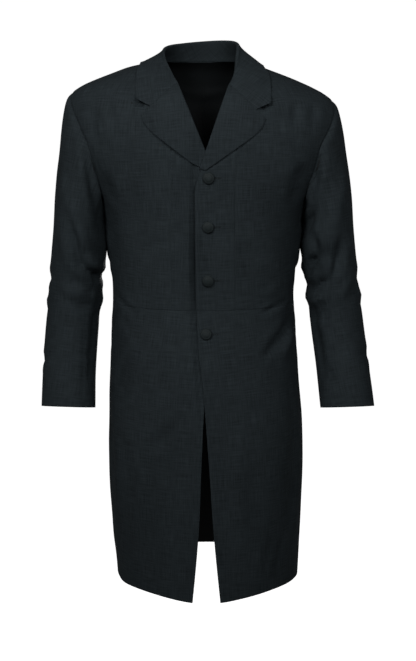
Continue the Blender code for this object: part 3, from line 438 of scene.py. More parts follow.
# %% [markdown]
# The sleeves have strokes of their own, because from the front they lie beside the body. They
# break where the elbows bend, and the inside of each elbow has the deepest folds, which run up
# and outward. The wearer's left sleeve is the more crumpled. Both sleeves share the tables of
# their outer sides and backs. A drift of some millimetres keeps the two from being alike.

# %% Folds of the sleeves
add_folds("sleeve_right", "front", [
    (11, -9.2, (-274, -262), (-257, -314), (-244, -367), (-224, -398)),
    (10, -6.4, (-248, -374), (-224, -394), (-198, -416)),
    (10, 4.9, (-292, -418), (-262, -434), (-226, -430)),
    (9, -4.3, (-205, -452), (-236, -464), (-270, -456)),
    (7, -2.6, (-209, -548), (-237, -562), (-276, -554)),
    (12, -2.3, (-296, -330), (-290, -380), (-296, -440)),
    (14, -3.2, (-255, -130), (-262, -180), (-262, -236)),
    (4.5, -1.4, (-236, -500), (-238, -574), (-240, -648)),
    (8, -5, (-242, -96), (-229, -155), (-217, -217), (-208, -275), (-200, -335)),
    (7.5, -5, (-206, -424), (-214, -491), (-221, -551), (-228, -620)),
])
add_folds("sleeve_left", "front", [
    (7, -9, (198, -246), (190, -290), (186, -345)),
    (6.5, -6.7, (217, -262), (207, -300), (197, -334)),
    (5, 4.1, (206, -268), (198, -308)),
    (7.5, -9.5, (216, -314), (222, -358), (214, -378), (203, -414)),
    (9, -8.2, (272, -318), (267, -352), (260, -388), (244, -430)),
    (7.5, -8.1, (244, -404), (222, -431), (204, -442)),
    (8, 5.5, (252, -438), (228, -455), (206, -462)),
    (8.5, -4.6, (262, -470), (236, -486), (212, -486)),
    (10, 3.5, (292, -380), (284, -420), (262, -456)),
    (11, -5.2, (218, -130), (214, -178), (204, -236)),
    (15, -2.9, (262, -120), (268, -170), (268, -230)),
    (8, -2.6, (234, -540), (258, -552), (286, -548)),
    (8, -1.4, (256, -580), (260, -620), (258, -650)),
    (8, -5.5, (229, -160), (219, -206), (209, -256)),
    (8, -5.8, (206, -424), (218, -491), (231, -551), (241, -612)),
])
add_folds("sleeve_right", "left", [
    (9.5, -9.5, (-75, -392), (-30, -408), (40, -414)),
    (17, 5, (-72, -445), (-20, -455), (40, -466)),
    (16, 3.4, (-30, -250), (-4, -296), (10, -336)),
])
add_folds("sleeve_left", "right", [
    (16, 4, (-30, -250), (-4, -296), (10, -336)),
    (11, 4.2, (-60, -378), (-20, -390), (40, -396)),
    (8.5, -5.5, (-75, -408), (-30, -424), (40, -430)),
    (11, 4.5, (-72, -442), (-20, -451), (40, -458)),
])
for side, mirror in (("left", 1), ("right", -1)):
    drift = 6 * mirror
    add_folds(f"sleeve_{side}", side, [
        (10, -3.8, (-50, -392 + drift), (10, -420), (60, -446)),
        (9, 2.6, (-46, -436), (0, -456 + drift), (54, -468)),
        (15, -3.2, (-60, -160), (-30, -220), (-20, -310 + drift)),
        (15, -2.9, (30, -150), (40, -230), (30, -340)),
        (9, -2.3, (-80, -560), (-30, -570 + drift), (20, -590)),
    ])
    behind = [
        (9, -5.8, (210, -350), (250, -386 + drift), (292, -392)),
        (8, -6.1, (208, -396), (244, -428), (290, -438 + drift)),
        (9, -4.3, (216, -440 + drift), (252, -462), (296, -462)),
        (12, -5.5, (226, -190), (216, -250), (214, -320 + drift)),
        (15, -2.6, (262, -170), (268, -260), (276, -330)),
        (10, -2, (250, -520), (262, -580), (262, -640)),
    ]
    add_folds(f"sleeve_{side}", "back", [
        (half_width, rise, *((across * mirror, height) for across, height in path))
        for half_width, rise, *path in behind
    ])
print(len(FOLDS), "folds with the sleeves")

# %% [markdown]
# Where two panels are sewn, the folded edges lie under one of them and lift it a little. It
# shows as a low ridge along the upright front seams and above the waist seam. Above the hem a
# shallow line shows where it is caught.

# %% Ridges beside the seams
RIDGE_HALF, RIDGE_RISE = 3, 0.45
HEM_HALF, HEM_RISE = 3.5, -0.4
FRONT_SEAM, WAIST_RIDGE, HEM_SLOPE = 57.5, -455.8, 8
for x in (-FRONT_SEAM, FRONT_SEAM):
    add_folds("body", "front", [(RIDGE_HALF, RIDGE_RISE, (x, -205), (x, -320), (x, -454))])
for start, end in ((-176, -12), (-12, 172)):
    add_folds("body", "front", [(RIDGE_HALF, RIDGE_RISE / 2, (start, WAIST_RIDGE),
                                 (end, WAIST_RIDGE))])
for start, end, height in ((-150, -30, -990), (32, 150, -992)):
    add_folds("body", "front", [(HEM_HALF, HEM_RISE, (start, height + HEM_SLOPE),
                                 (end, height))])
    add_folds("body", "back", [(HEM_HALF, HEM_RISE, (start, height), (end, height))])
print(len(FOLDS), "strokes in all")

# %% [markdown]
# Where the fronts lap, the over front stands a little proud along its edge and the under front
# sinks beside it, so the edge keeps a soft shadow down to where the skirts part. The chest
# sinks in the same way under the outer edges of the lapels and in the notches below the
# collar. These strokes act on the named panels alone.

# %% Strokes of single panels
OWN_STROKES = {
    "front_centre_right": ["under_front", "lapel_edge"], "skirt_right": ["under_front"],
    "front_centre_left": ["over_front", "lapel_edge"], "skirt_left": ["over_front"],
    "front_side_right": ["lapel_edge"], "front_side_left": ["lapel_edge"],
}
add_folds("under_front", "front", [
    (6.2, -8.6, (-17.2, -140), (-17.2, -290), (-16.5, -400), (-13, -520), (-1, -700)),
])
add_folds("over_front", "front", [
    (5, 2.2, (-12, -160), (-11.5, -290), (-10, -400), (-7, -520), (5, -690)),
])
add_folds("lapel_edge", "front", [
    (4.4, -5.2, (-120.7, -87.8), (-88.9, -123.5), (-52.6, -158.7), (-8, -188.1)),
    (4.4, -5.2, (118.7, -96.3), (81.3, -131.4), (37.4, -162.8), (-0.5, -188.1)),
    (6, -13, (-138, -53.5), (-121.5, -60.5), (-104, -69)),
    (6, -13, (142, -56), (125, -63.5), (107, -72)),
])
print(len(FOLDS), "strokes with those of single panels")

# %% [markdown]
# A fold has no corners, so a stroke is a smooth line through its few points. Between two
# points, a cubic curve leaves and arrives in the direction of their neighbours.

# %% A smooth line through a few points
PATH_STEPS = 10


def rounded_path(points):
    """A smooth line through the points of a stroke."""
    knots = [2 * np.array(points[0]) - points[1], *points, 2 * np.array(points[-1]) - points[-2]]
    knots = np.array(knots, float)
    line = []
    for k in range(1, len(knots) - 2):
        a, b, c, d = knots[k - 1:k + 3]
        for t in np.linspace(0, 1, PATH_STEPS, endpoint=False):
            line.append(0.5 * (2 * b + (c - a) * t + (2 * a - 5 * b + 4 * c - d) * t**2
                               + (3 * b - a - 3 * c + d) * t**3))
    line.append(knots[-2])
    return np.array(line)


print(len(rounded_path(FOLDS[0][2])), "points along the first stroke")

# %% [markdown]
# A stroke acts on the points near it, on the side that faces its viewer. Across the stroke
# the cloth follows a soft hollow with a low swelling on both sides, as pushed cloth does.
# Along the stroke it comes in and dies away unevenly: two waves make it deeper and shallower,
# and the place of the stroke sets where they begin.

# %% Shape of one fold
# the two axes of a view, and the way to its viewer
VIEWS = {"front": ((0, 2), FRONT), "back": ((0, 2), BACK),
         "left": ((1, 2), OUT["left"]), "right": ((1, 2), OUT["right"])}
STROKE_REACH = 4                        # half widths beyond which a stroke does nothing
TURNED_AWAY, TURNED_FADE = 0.05, 0.40   # slope at which a stroke ends, and how softly
WAVES = ((0.22, 7, 1), (0.12, 17, 2))   # height, radians along the stroke, share of the start
WAVE_START = 40                         # radians at the start, for each metre of its place
TIP_POWER, TIP_WIDTH = 0.7, 0.6         # how bluntly a stroke ends, and its width there
SWELL_SHARE, SWELL_PLACE = 0.30, 2.0    # the low swelling, in depths and half widths


def ease(value):
    """Goes smoothly from 0 to 1, and stays there."""
    value = np.clip(value, 0.0, 1.0)
    return value * value * (3 - 2 * value)


def fold_rise(points, normals, stroke):
    """How far one stroke moves each point along its normal."""
    _, seen, path, half_width, rise = stroke
    axes, towards = VIEWS[seen]
    flat = points[:, axes]
    line = rounded_path(path)
    reach = half_width * STROKE_REACH
    low, high = line.min(axis=0) - reach, line.max(axis=0) + reach
    facing = ease((normals @ towards - TURNED_AWAY) / TURNED_FADE)
    near = np.all((flat > low) & (flat < high), axis=1) & (facing > 0)
    result = np.zeros(len(points))
    if not near.any():
        return result
    spots = flat[near]
    nearest = np.full(len(spots), 1e9)
    along = np.zeros(len(spots))
    for k in range(len(line) - 1):
        step = line[k + 1] - line[k]
        t = np.clip(((spots - line[k]) @ step) / (step @ step), 0, 1)
        gap = np.linalg.norm(spots - line[k] - t[:, None] * step, axis=1)
        closer = gap < nearest
        nearest[closer] = gap[closer]
        along[closer] = (k + t[closer]) / (len(line) - 1)
    begin = WAVE_START * (path[0][0] + path[0][1])
    uneven = 1 + sum(size * np.sin(angle * along + share * begin) for size, angle, share in WAVES)
    taper = np.sin(np.pi * np.clip(along, 0.0, 1.0)) ** TIP_POWER
    across = nearest / (half_width * (TIP_WIDTH + (1 - TIP_WIDTH) * taper))
    shape = np.exp(-across**2) - SWELL_SHARE * np.exp(-(across - SWELL_PLACE) ** 2)
    result[near] = rise * uneven * taper * shape * facing[near]
    return result


across, height = FOLDS[0][2][1]
trial = fold_rise(np.array([(across, 0, height)]), np.array([FRONT]), FOLDS[0])
print("the first stroke moves its second point by", round(trial[0], 4), "m")

# %% [markdown]
# Between the folds, worn cloth is never quite flat. A little slow noise, stretched down the
# coat as hanging cloth is, gives soft swellings of under a millimetre. The noise is worked
# out from the place alone, so it runs on across the seams and is the same in every run.

# %% Slow unevenness of hanging cloth
SWELL, SWELL_SIZE, SWELL_DRAWN = 0.0011, 0.110, 0.45
RUMPLE, RUMPLE_SIZE, RUMPLE_DRAWN = 0.0004, 0.042, 0.60
APART = 3                               # keeps the two noises from rising together


def unevenness(points):
    """Soft swellings, from the place of each point."""
    result = np.zeros(len(points))
    for i, (x, y, z) in enumerate(points):
        slow = noise.noise(Vector((x, y, z * SWELL_DRAWN)) / SWELL_SIZE)
        quick = noise.noise(Vector((x + APART, y, z * RUMPLE_DRAWN)) / RUMPLE_SIZE)
        result[i] = SWELL * slow + RUMPLE * quick
    return result


trial_swell = unevenness([(0.1, -0.1, -0.01 * k) for k in range(100)])
print(f"one metre of cloth swells by {np.ptp(trial_swell) * 1000:.2f} mm")

# %% [markdown]
# A seam draws its two edges down a little. The border of a panel is marked at about every
# millimetre, and a search tree finds how far each point is from the nearest mark. The cloth
# beside the border is then lowered along a soft curve.

# %% Draw the edges down
EDGE_DROP, EDGE_REACH = 0.00034, 0.0014
MARK_STEP = 0.001


def border_points(piece):
    """The points on the border of a panel."""
    return sorted({point for edge in border_edges(piece.data) for point in edge})


def border_marks(piece):
    """Marks along the border of a panel."""
    marks = []
    for a, b in border_edges(piece.data):
        start, end = piece.data.vertices[a].co, piece.data.vertices[b].co
        parts = max(1, int((end - start).length / MARK_STEP))
        marks += [start.lerp(end, k / parts) for k in range(parts)]
    return marks


def search_tree(places):
    """A tree that finds the nearest of many places."""
    tree = kdtree.KDTree(len(places))
    for i, place in enumerate(places):
        tree.insert(place, i)
    tree.balance()
    return tree


def edge_drop(piece):
    """Lowers the points beside the border of a panel."""
    tree = search_tree(border_marks(piece))
    distance = np.array([tree.find(vertex.co)[2] for vertex in piece.data.vertices])
    return -EDGE_DROP * np.exp(-(distance / EDGE_REACH) ** 2)


print(len(border_marks(panels["collar"])), "marks along the border of the collar")

# %% [markdown]
# Two panels meet at a seam, and a fold that crosses it has to move both edges the same way.
# Left alone, each panel would move along its own slope and the seam would gape. So the slopes
# of border points that lie side by side are averaged before anything is moved.

# %% Shared slopes at the seams
SIDE_BY_SIDE, SAME_WAY = 0.0011, 0.3


def shared_normals(pieces):
    """Normals of several panels, averaged where their borders meet."""
    slopes = {name: np.array([normal.vector for normal in piece.data.vertex_normals])
              for name, piece in pieces.items()}
    marks = [(name, point) for name, piece in pieces.items() for point in border_points(piece)]
    tree = search_tree([pieces[name].data.vertices[point].co for name, point in marks])
    own = {name: normals.copy() for name, normals in slopes.items()}
    for name, point in marks:
        total = np.zeros(3)
        for _, i, _ in tree.find_range(pieces[name].data.vertices[point].co, SIDE_BY_SIDE):
            other, beside = marks[i]
            if own[other][beside] @ own[name][point] > SAME_WAY:
                total += own[other][beside]
        slopes[name][point] = total / np.linalg.norm(total)
    return slopes


slopes = shared_normals(panels)
print("slopes of", len(slopes), "panels are shared")

# %% [markdown]
# The folds, the unevenness and the drawn edges are added up and pressed into each panel, along
# the slopes. A panel takes the strokes of the sleeve or of the body, and those of its own.


# %% Press the folds
def press(piece, parts, normals):
    """Moves the points of a panel along their slopes, by the folds of some parts."""
    points = np.array([vertex.co for vertex in piece.data.vertices])
    rise = unevenness(points)
    for stroke in FOLDS:
        if stroke[0] in parts:
            rise += fold_rise(points, normals, stroke)
    rise += edge_drop(piece)
    piece.data.vertices.foreach_set("co", (points + normals * rise[:, None]).ravel())
    piece.data.update()
    return rise.min(), rise.max()


for node, panel in panels.items():
    parts = ["sleeve_" + node.split("_")[-1]] if node.startswith("sleeve") else ["body"]
    lowest, highest = press(panel, parts + OWN_STROKES.get(node, []), slopes[node])
    print(f"{node}: folds {lowest * 1000:.1f} to {highest * 1000:.1f} mm")

# %% [markdown]
# The sleeves have folds of their own, so at the armholes the two edges don't move alike. Each
# border point within reach is drawn to the other border, a little past the middle, which
# closes the seam. Low points are left alone, since there the borders belong to other seams.

# %% Close the armholes
ARM_REACH, ARM_LOW = 0.011, -0.245
ARM_PULL, ARM_MOST = 0.56, 0.0052
ARM_PARTS = {"sleeve": ("sleeve_top_", "sleeve_under_"),
             "body": ("front_side_", "side_body_", "back_")}
for side in ("left", "right"):
    moves = []
    for part, other in (("sleeve", "body"), ("body", "sleeve")):
        tree = search_tree([mark for name in ARM_PARTS[other]
                            for mark in border_marks(panels[name + side])])
        for name in ARM_PARTS[part]:
            mesh = panels[name + side].data
            for point in border_points(panels[name + side]):
                spot, _, gap = tree.find(mesh.vertices[point].co)
                if gap < ARM_REACH and mesh.vertices[point].co.z > ARM_LOW:
                    way = (spot - mesh.vertices[point].co) * ARM_PULL
                    moves.append((mesh, point, way * min(1, ARM_MOST / (way.length + 1e-9))))
    for mesh, point, way in moves:
        mesh.vertices[point].co += way
    print(f"{side} armhole: {len(moves)} points drawn together")

# %% [markdown]
# The cloth is a fine, dull suiting in plain weave. Threads cross over and under each other, so
# its surface is a checker of small rises: the product of two waves, one for each direction of
# the threads. One node group makes this for every cloth in the coat. It takes a place in
# metres, the pitch of the threads and the share of thick threads, and gives a tone from 0 to 1
# and a height for the bump.


# %% Plain weave
def add_node(tree, kind, **values):
    """Adds a node and sets its own values by name."""
    node = tree.nodes.new(kind)
    for name, value in values.items():
        setattr(node, name, value)
    return node


def link(tree, *pairs):
    """Links outputs to inputs, given in pairs."""
    for start, end in pairs:
        tree.links.new(start, end)


def calculate(tree, operation, first, second=None):
    """A Math node on one or two values or sockets."""
    node = add_node(tree, "ShaderNodeMath", operation=operation)
    for socket, value in zip(node.inputs, (first, second)):
        if value is None:
            continue
        if isinstance(value, (int, float)):
            socket.default_value = value
        else:
            tree.links.new(value, socket)
    return node.outputs[0]


weave = bpy.data.node_groups.new("woven_cloth", "ShaderNodeTree")
for name, way, kind in (("Place", "INPUT", "Vector"), ("Pitch", "INPUT", "Float"),
                        ("Slub", "INPUT", "Float"), ("Tone", "OUTPUT", "Float"),
                        ("Height", "OUTPUT", "Float")):
    weave.interface.new_socket(name, in_out=way, socket_type=f"NodeSocket{kind}")
given = add_node(weave, "NodeGroupInput")
result = add_node(weave, "NodeGroupOutput")
split = add_node(weave, "ShaderNodeSeparateXYZ")
link(weave, (given.outputs["Place"], split.inputs[0]))
warp, weft = split.outputs[0], split.outputs[1]
turns = calculate(weave, "DIVIDE", math.pi, given.outputs["Pitch"])
over = calculate(weave, "SINE", calculate(weave, "MULTIPLY", warp, turns))
under = calculate(weave, "SINE", calculate(weave, "MULTIPLY", weft, turns))
checker = calculate(weave, "MULTIPLY", over, under)
print("plain weave has", len(weave.nodes), "nodes")

# %% [markdown]
# Suiting has thicker threads here and there in both directions, and slow changes of tone.
# Both are noise that is drawn out along a thread, and the patches much less than the threads.

# %% Thick threads and patches
THREAD_FINE, THREAD_LONG = 520.0, 26.0      # thick threads, across and along
PATCH_FINE, PATCH_LONG, PATCH_SHARE = 16.0, 7.0, 0.4
WEAVE_HEIGHT = 0.25                         # of the plain weave, beside the thick threads


def set_inputs(node, **values):
    """Sets inputs of a node by name, with _ for a space."""
    for name, value in values.items():
        node.inputs[name.replace("_", " ")].default_value = value


def streaks(tree, across, along, fine, long, seed):
    """Noise drawn out along one thread direction."""
    place = add_node(tree, "ShaderNodeCombineXYZ")
    set_inputs(place, Z=seed)
    cloud = add_node(tree, "ShaderNodeTexNoise")
    set_inputs(cloud, Scale=1.0, Detail=2.0)
    link(tree, (calculate(tree, "MULTIPLY", across, fine), place.inputs["X"]),
         (calculate(tree, "MULTIPLY", along, long), place.inputs["Y"]),
         (place.outputs[0], cloud.inputs["Vector"]))
    return cloud.outputs["Fac"]


upright = streaks(weave, warp, weft, THREAD_FINE, THREAD_LONG, seed=0.0)
level = streaks(weave, weft, warp, THREAD_FINE, THREAD_LONG, seed=7.0)
broad = streaks(weave, warp, weft, PATCH_FINE, PATCH_LONG, seed=3.0)
thick = calculate(weave, "SUBTRACT", calculate(weave, "ADD", upright, level), 1.0)
threads = calculate(weave, "MULTIPLY", thick, given.outputs["Slub"])
patches = calculate(weave, "MULTIPLY", calculate(weave, "SUBTRACT", broad, 0.5), PATCH_SHARE)
tone = calculate(weave, "ADD", calculate(weave, "ADD", threads, patches), 0.5)
tone = calculate(weave, "MINIMUM", calculate(weave, "MAXIMUM", tone, 0.0), 1.0)
height = calculate(weave, "ADD", calculate(weave, "MULTIPLY", checker, WEAVE_HEIGHT), threads)
link(weave, (tone, result.inputs["Tone"]), (height, result.inputs["Height"]))
print("woven_cloth group has", len(weave.nodes), "nodes")

# %% [markdown]
# The coat cloth is near black and a little blue-green. It reads the flat pattern, so its
# threads follow the cut. The wool is dull: its gloss is kept very low, because a stronger one
# would draw pale rims round the sleeves and skirts.

# %% Coat cloth
ROUGH_RANGE, RELIEF_DEPTH = 0.08, 0.0004


def cloth_finish(name, dark, light, pitch, slub, rough, gloss, bump, place="pattern"):
    """A material of woven cloth."""
    material = bpy.data.materials.new(name)
    material.use_nodes = True
    tree = material.node_tree
    shader = tree.nodes["Principled BSDF"]
    if place == "pattern":
        source = add_node(tree, "ShaderNodeUVMap", uv_map=PATTERN).outputs[0]
    else:
        source = add_node(tree, "ShaderNodeTexCoord").outputs["Object"]
    group = add_node(tree, "ShaderNodeGroup", node_tree=weave)
    set_inputs(group, Pitch=pitch, Slub=slub)
    blend = add_node(tree, "ShaderNodeMix", data_type="RGBA")
    ends = [socket for socket in blend.inputs if socket.type == "RGBA"]
    ends[0].default_value = (*dark, 1.0)
    ends[1].default_value = (*light, 1.0)
    mixed = [socket for socket in blend.outputs if socket.type == "RGBA"][0]
    roughness = add_node(tree, "ShaderNodeMapRange")
    set_inputs(roughness, To_Min=rough + ROUGH_RANGE, To_Max=rough - ROUGH_RANGE)
    relief = add_node(tree, "ShaderNodeBump")
    set_inputs(relief, Strength=bump, Distance=RELIEF_DEPTH)
    set_inputs(shader, Specular_IOR_Level=gloss)
    link(tree, (source, group.inputs["Place"]), (group.outputs["Tone"], blend.inputs[0]),
         (mixed, shader.inputs["Base Color"]), (group.outputs["Tone"], roughness.inputs[0]),
         (roughness.outputs[0], shader.inputs["Roughness"]),
         (group.outputs["Height"], relief.inputs["Height"]),
         (relief.outputs["Normal"], shader.inputs["Normal"]))
    return material


coat_cloth = cloth_finish(
    "charcoal_suiting", (0.0100, 0.0130, 0.0147), (0.0270, 0.0352, 0.0399),
    pitch=0.0006, slub=1.0, rough=0.84, gloss=0.05, bump=0.55)
print("coat cloth:", coat_cloth.name)

# %% [markdown]
# The wrong side shows only at the neck, at the cuffs and between the skirts. It is a dark
# lining with a soft gloss. The buttons are covered with the coat's cloth and the buttonholes
# are sewn with twist. Both lie on small shapes without a pattern, and read object places.

# %% Lining, button cover and twist
lining = cloth_finish(
    "dark_lining", (0.0060, 0.0072, 0.0078), (0.0110, 0.0130, 0.0142),
    pitch=0.0003, slub=0.3, rough=0.50, gloss=0.12, bump=0.20)
button_cover = cloth_finish(
    "button_cover", (0.0056, 0.0082, 0.0088), (0.0160, 0.0228, 0.0242),
    pitch=0.0006, slub=0.6, rough=0.66, gloss=0.16, bump=0.45, place="object")
thread = cloth_finish(
    "buttonhole_twist", (0.0060, 0.0080, 0.0088), (0.0190, 0.0245, 0.0270),
    pitch=0.0003, slub=0.4, rough=0.70, gloss=0.10, bump=0.30, place="object")
print("finishes:", [lining.name, button_cover.name, thread.name])

# %% [markdown]
# Solidify gives the cloth its wall, inwards from the good side, with the wrong side in the
# second material. Bevel rounds the folded edges, because a tailor's edge is turned and pressed
# and never sharp.

# %% Give the cloth its wall
EDGE_ROUND, EDGE_STEPS, EDGE_BEND = 0.0005, 2, math.radians(50)


def thicken(piece):
    """Gives a panel its wall and rounded edges."""
    only(piece)
    wall = piece.modifiers.new("wall", "SOLIDIFY")
    wall.thickness, wall.offset = CLOTH_WALL, -1
    wall.material_offset = 1
    edge = piece.modifiers.new("edge", "BEVEL")
    edge.width = EDGE_ROUND
    edge.segments = EDGE_STEPS
    edge.limit_method = "ANGLE"
    edge.angle_limit = EDGE_BEND
    bpy.ops.object.modifier_apply(modifier=wall.name)
    bpy.ops.object.modifier_apply(modifier=edge.name)
    bpy.ops.object.shade_smooth()


for panel in panels.values():
    panel.data.materials.append(coat_cloth)
    panel.data.materials.append(lining)
    thicken(panel)
print(face_count(), "faces with the walls")

# %% [markdown]
# Now each panel stands for its solid: it rides on the coat's one body, hides the solid, takes
# the record's wool slot, and is declared as a sheet with the size it was cut to.

# %% Dress the coat
for node, _, _, held, rests_on in CLOTH_PIECES:
    panel = panels[node]
    width, length, area = flat_sizes[node]
    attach(panel, "root")
    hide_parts(node)
print(len(panels), "sheets ride on the coat")

# %% [markdown]
# A button lies on the front of the coat, which is not quite upright. The place and slope of
# the cloth are found by looking at it along a ray from in front. Three buttons are on the
# centre front, and the lowest is on the skirt.

# %% Find the cloth behind each button
BUTTON_PANELS = {f"button_{k}": "front_centre_left" for k in (1, 2, 3)}
BUTTON_PANELS["button_4"] = "skirt_left"


def faces_of(panel):
    """A tree that finds where a ray meets a panel."""
    return BVHTree.FromPolygons([vertex.co for vertex in panel.data.vertices],
                                [list(face.vertices) for face in panel.data.polygons])


cloth_trees = {name: faces_of(panels[panel]) for name, panel in BUTTON_PANELS.items()}


def cloth_behind(name, right=0.0, up=0.0):
    """Place and outward slope of the cloth behind the middle of a button, or beside it."""
    low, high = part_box(name)
    start = Vector(((low.x + high.x) / 2 + right, -1.0, (low.z + high.z) / 2 + up))
    place, normal, _, _ = cloth_trees[name].ray_cast(start, Vector((0, 1, 0)))
    return place, (-normal if normal.y > 0 else normal)


def turned_to(normal, place):
    """A matrix that stands a piece on the cloth, its own Z along the normal."""
    across = Vector((0, 0, 1)).cross(normal).normalized()
    up = normal.cross(across)
    return Matrix.Translation(place) @ Matrix((across, up, normal)).transposed().to_4x4()


for name in BUTTON_PANELS:
    print(name, "lies at", [round(value, 4) for value in cloth_behind(name)[0]])

# %% [markdown]
# The buttons are small moulds covered in the coat's cloth, which is drawn over the dome and
# gathered behind it, so the rim shows fine pleats. A sphere is flattened to a dome, its rim is
# pleated and a shallow groove is pressed round the crown. One dome is modelled, and each
# button is a copy of it, turned to its place on the cloth.

# %% Covered buttons
BUTTON_RADIUS, BUTTON_LIFT = 0.0115, 0.0010
# The sizes below are shares of the radius.
DOME, BACK_BULGE, DOME_LIFT, FLATNESS = 0.66, 0.22, 0.10, 0.70
GROOVE_DEPTH, GROOVE_AT, GROOVE_HALF = 0.085, 0.66, 0.09
PLEATS, PLEAT_DEPTH, RIM_AT, RIM_HALF = 22, 0.00022 / BUTTON_RADIUS, -0.05, 0.30


def button_dome():
    """A dome with a grooved crown and a pleated rim, lying at the origin."""
    bpy.ops.object.select_all(action="DESELECT")
    bpy.ops.mesh.primitive_uv_sphere_add(segments=88, ring_count=28, radius=BUTTON_RADIUS)
    dome = bpy.context.active_object
    for vertex in dome.data.vertices:
        spot = vertex.co / BUTTON_RADIUS
        radius, angle = math.hypot(spot.x, spot.y), math.atan2(spot.y, spot.x)
        height = spot.z * BACK_BULGE
        if spot.z > 0:
            groove = math.exp(-((radius - GROOVE_AT) / GROOVE_HALF) ** 2)
            height = spot.z * DOME - groove * GROOVE_DEPTH
        rim = math.exp(-((spot.z - RIM_AT) / RIM_HALF) ** 2) * radius
        scale = 1 + PLEAT_DEPTH * rim * math.sin(PLEATS * angle)
        vertex.co = Vector((spot.x * scale, spot.y * scale,
                            (height + DOME_LIFT) * FLATNESS)) * BUTTON_RADIUS
    dome.data.materials.append(button_cover)
    bpy.ops.object.shade_smooth()
    return dome


dome = button_dome()
for name in BUTTON_PANELS:
    button = in_scene(f"{name}_cover", dome.data.copy())
    place, normal = cloth_behind(name)
    button.data.transform(turned_to(normal, place + normal * BUTTON_LIFT))
    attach(button, "root")
    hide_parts(name)
    print(button.name, "has", len(button.data.polygons), "faces")
bpy.data.objects.remove(dome, do_unlink=True)

# %% [markdown]
# Each button comes through a worked hole in the over front. Its edge is covered with close
# stitches of twist. One stitch is modelled as a small rod with rounded ends, to be copied.

# %% One stitch of twist
STITCH_RADIUS, STITCH_LENGTH, STITCH_ROUND = 0.00034, 0.0017, 0.00016
bpy.ops.object.select_all(action="DESELECT")
bpy.ops.mesh.primitive_cylinder_add(vertices=8, radius=STITCH_RADIUS, depth=STITCH_LENGTH,
                                    rotation=(0, math.pi / 2, 0))
stitch = bpy.context.active_object
bpy.ops.object.transform_apply(location=True, rotation=True, scale=True)
edit_all(stitch)
bpy.ops.mesh.bevel(offset=STITCH_ROUND, segments=2, affect="EDGES", clamp_overlap=True)
bpy.ops.object.mode_set(mode="OBJECT")
print("one stitch has", len(stitch.data.polygons), "faces")

# %% [markdown]
# The hole runs level, away from the front edge, so a little of it shows beside the button.
# Stitches are set side by side along both edges, with a bar across the end. They lean a
# little unevenly, as hand work does. All stitches of a hole are joined in one piece.

# %% Buttonholes
HOLE_START, HOLE_LENGTH, HOLE_STEP = 0.001, 0.0215, 0.00085
HALF_SLIT, STITCH_LIFT = 0.00105, 0.00012
LEAN, LEAN_TURN = 0.10, 5.1                     # in radians
BAR_GAP, BAR_STEP = 0.0007, 0.0006

layout = []
for k in range(int(HOLE_LENGTH / HOLE_STEP) + 1):
    turn = math.pi / 2 + LEAN * math.sin(LEAN_TURN * k)
    layout += [(k * HOLE_STEP, -HALF_SLIT, turn), (k * HOLE_STEP, HALF_SLIT, turn)]
for k in range(-2, 3):
    layout.append((HOLE_LENGTH + BAR_GAP, k * BAR_STEP, 0.0))

for name in BUTTON_PANELS:
    copies = []
    for along, up, turn in layout:
        place, normal = cloth_behind(name, HOLE_START + along, up)
        copies.append(in_scene(f"buttonhole_{name[-1]}", stitch.data.copy()))
        copies[-1].data.transform(turned_to(normal, place + normal * STITCH_LIFT)
                                  @ Matrix.Rotation(turn, 4, "Z"))
    only(copies[0])
    for copy in copies:
        copy.select_set(True)
    bpy.ops.object.join()
    hole = bpy.context.active_object
    hole.data.materials.append(thread)
    bpy.ops.object.shade_smooth()
    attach(hole, "root")
    print(hole.name, "has", len(hole.data.polygons), "faces")
bpy.data.objects.remove(stitch, do_unlink=True)

# %% [markdown]
# The coat is shown against a plain pale sweep. A sheet of paper runs under it as a floor and
# curves up far behind it, so no line crosses the background. The floor lies as low as it would
# under a wearer's feet. It starts behind the coat, and so throws no light up at the hem. The
# far edge of the sheet is pulled up, and Bevel rounds the bend.

# %% Floor and backdrop
FLOOR_Z = -1.48
PAPER_START, PAPER_END, PAPER_WIDTH, PAPER_HEIGHT = 0.3, 14.0, 40, 20
CURVE_WIDTH, CURVE_STEPS = 2.0, 16

paper_middle = (PAPER_START + PAPER_END) / 2
bpy.ops.object.select_all(action="DESELECT")
bpy.ops.mesh.primitive_plane_add(size=1, location=(0, paper_middle, FLOOR_Z))
sweep = bpy.context.active_object
sweep.name = "pale_sweep"
sweep.scale = (PAPER_WIDTH, PAPER_END - PAPER_START, 1)
bpy.ops.object.transform_apply(location=True, rotation=True, scale=True)
bpy.ops.object.mode_set(mode="EDIT")
bpy.ops.mesh.select_mode(type="EDGE")
bpy.ops.mesh.select_all(action="DESELECT")
bpy.ops.object.mode_set(mode="OBJECT")
for edge in sweep.data.edges:
    edge.select = all(sweep.data.vertices[v].co.y > paper_middle for v in edge.vertices)
bpy.ops.object.mode_set(mode="EDIT")
bpy.ops.mesh.extrude_region_move(TRANSFORM_OT_translate={"value": (0, 0, PAPER_HEIGHT)})
bpy.ops.object.mode_set(mode="OBJECT")
curve = sweep.modifiers.new("curve", "BEVEL")
curve.width = CURVE_WIDTH
curve.segments = CURVE_STEPS
only(sweep)
bpy.ops.object.modifier_apply(modifier=curve.name)
bpy.ops.object.shade_smooth()
print("floor at", FLOOR_Z, "and paper up to", max(v.co.z for v in sweep.data.vertices))

# %% [markdown]
# The paper glows evenly for the eye, so no shadow shows on it. A Light Path node keeps the
# glow from lighting the coat, which would brighten the turned sides of dark cloth.

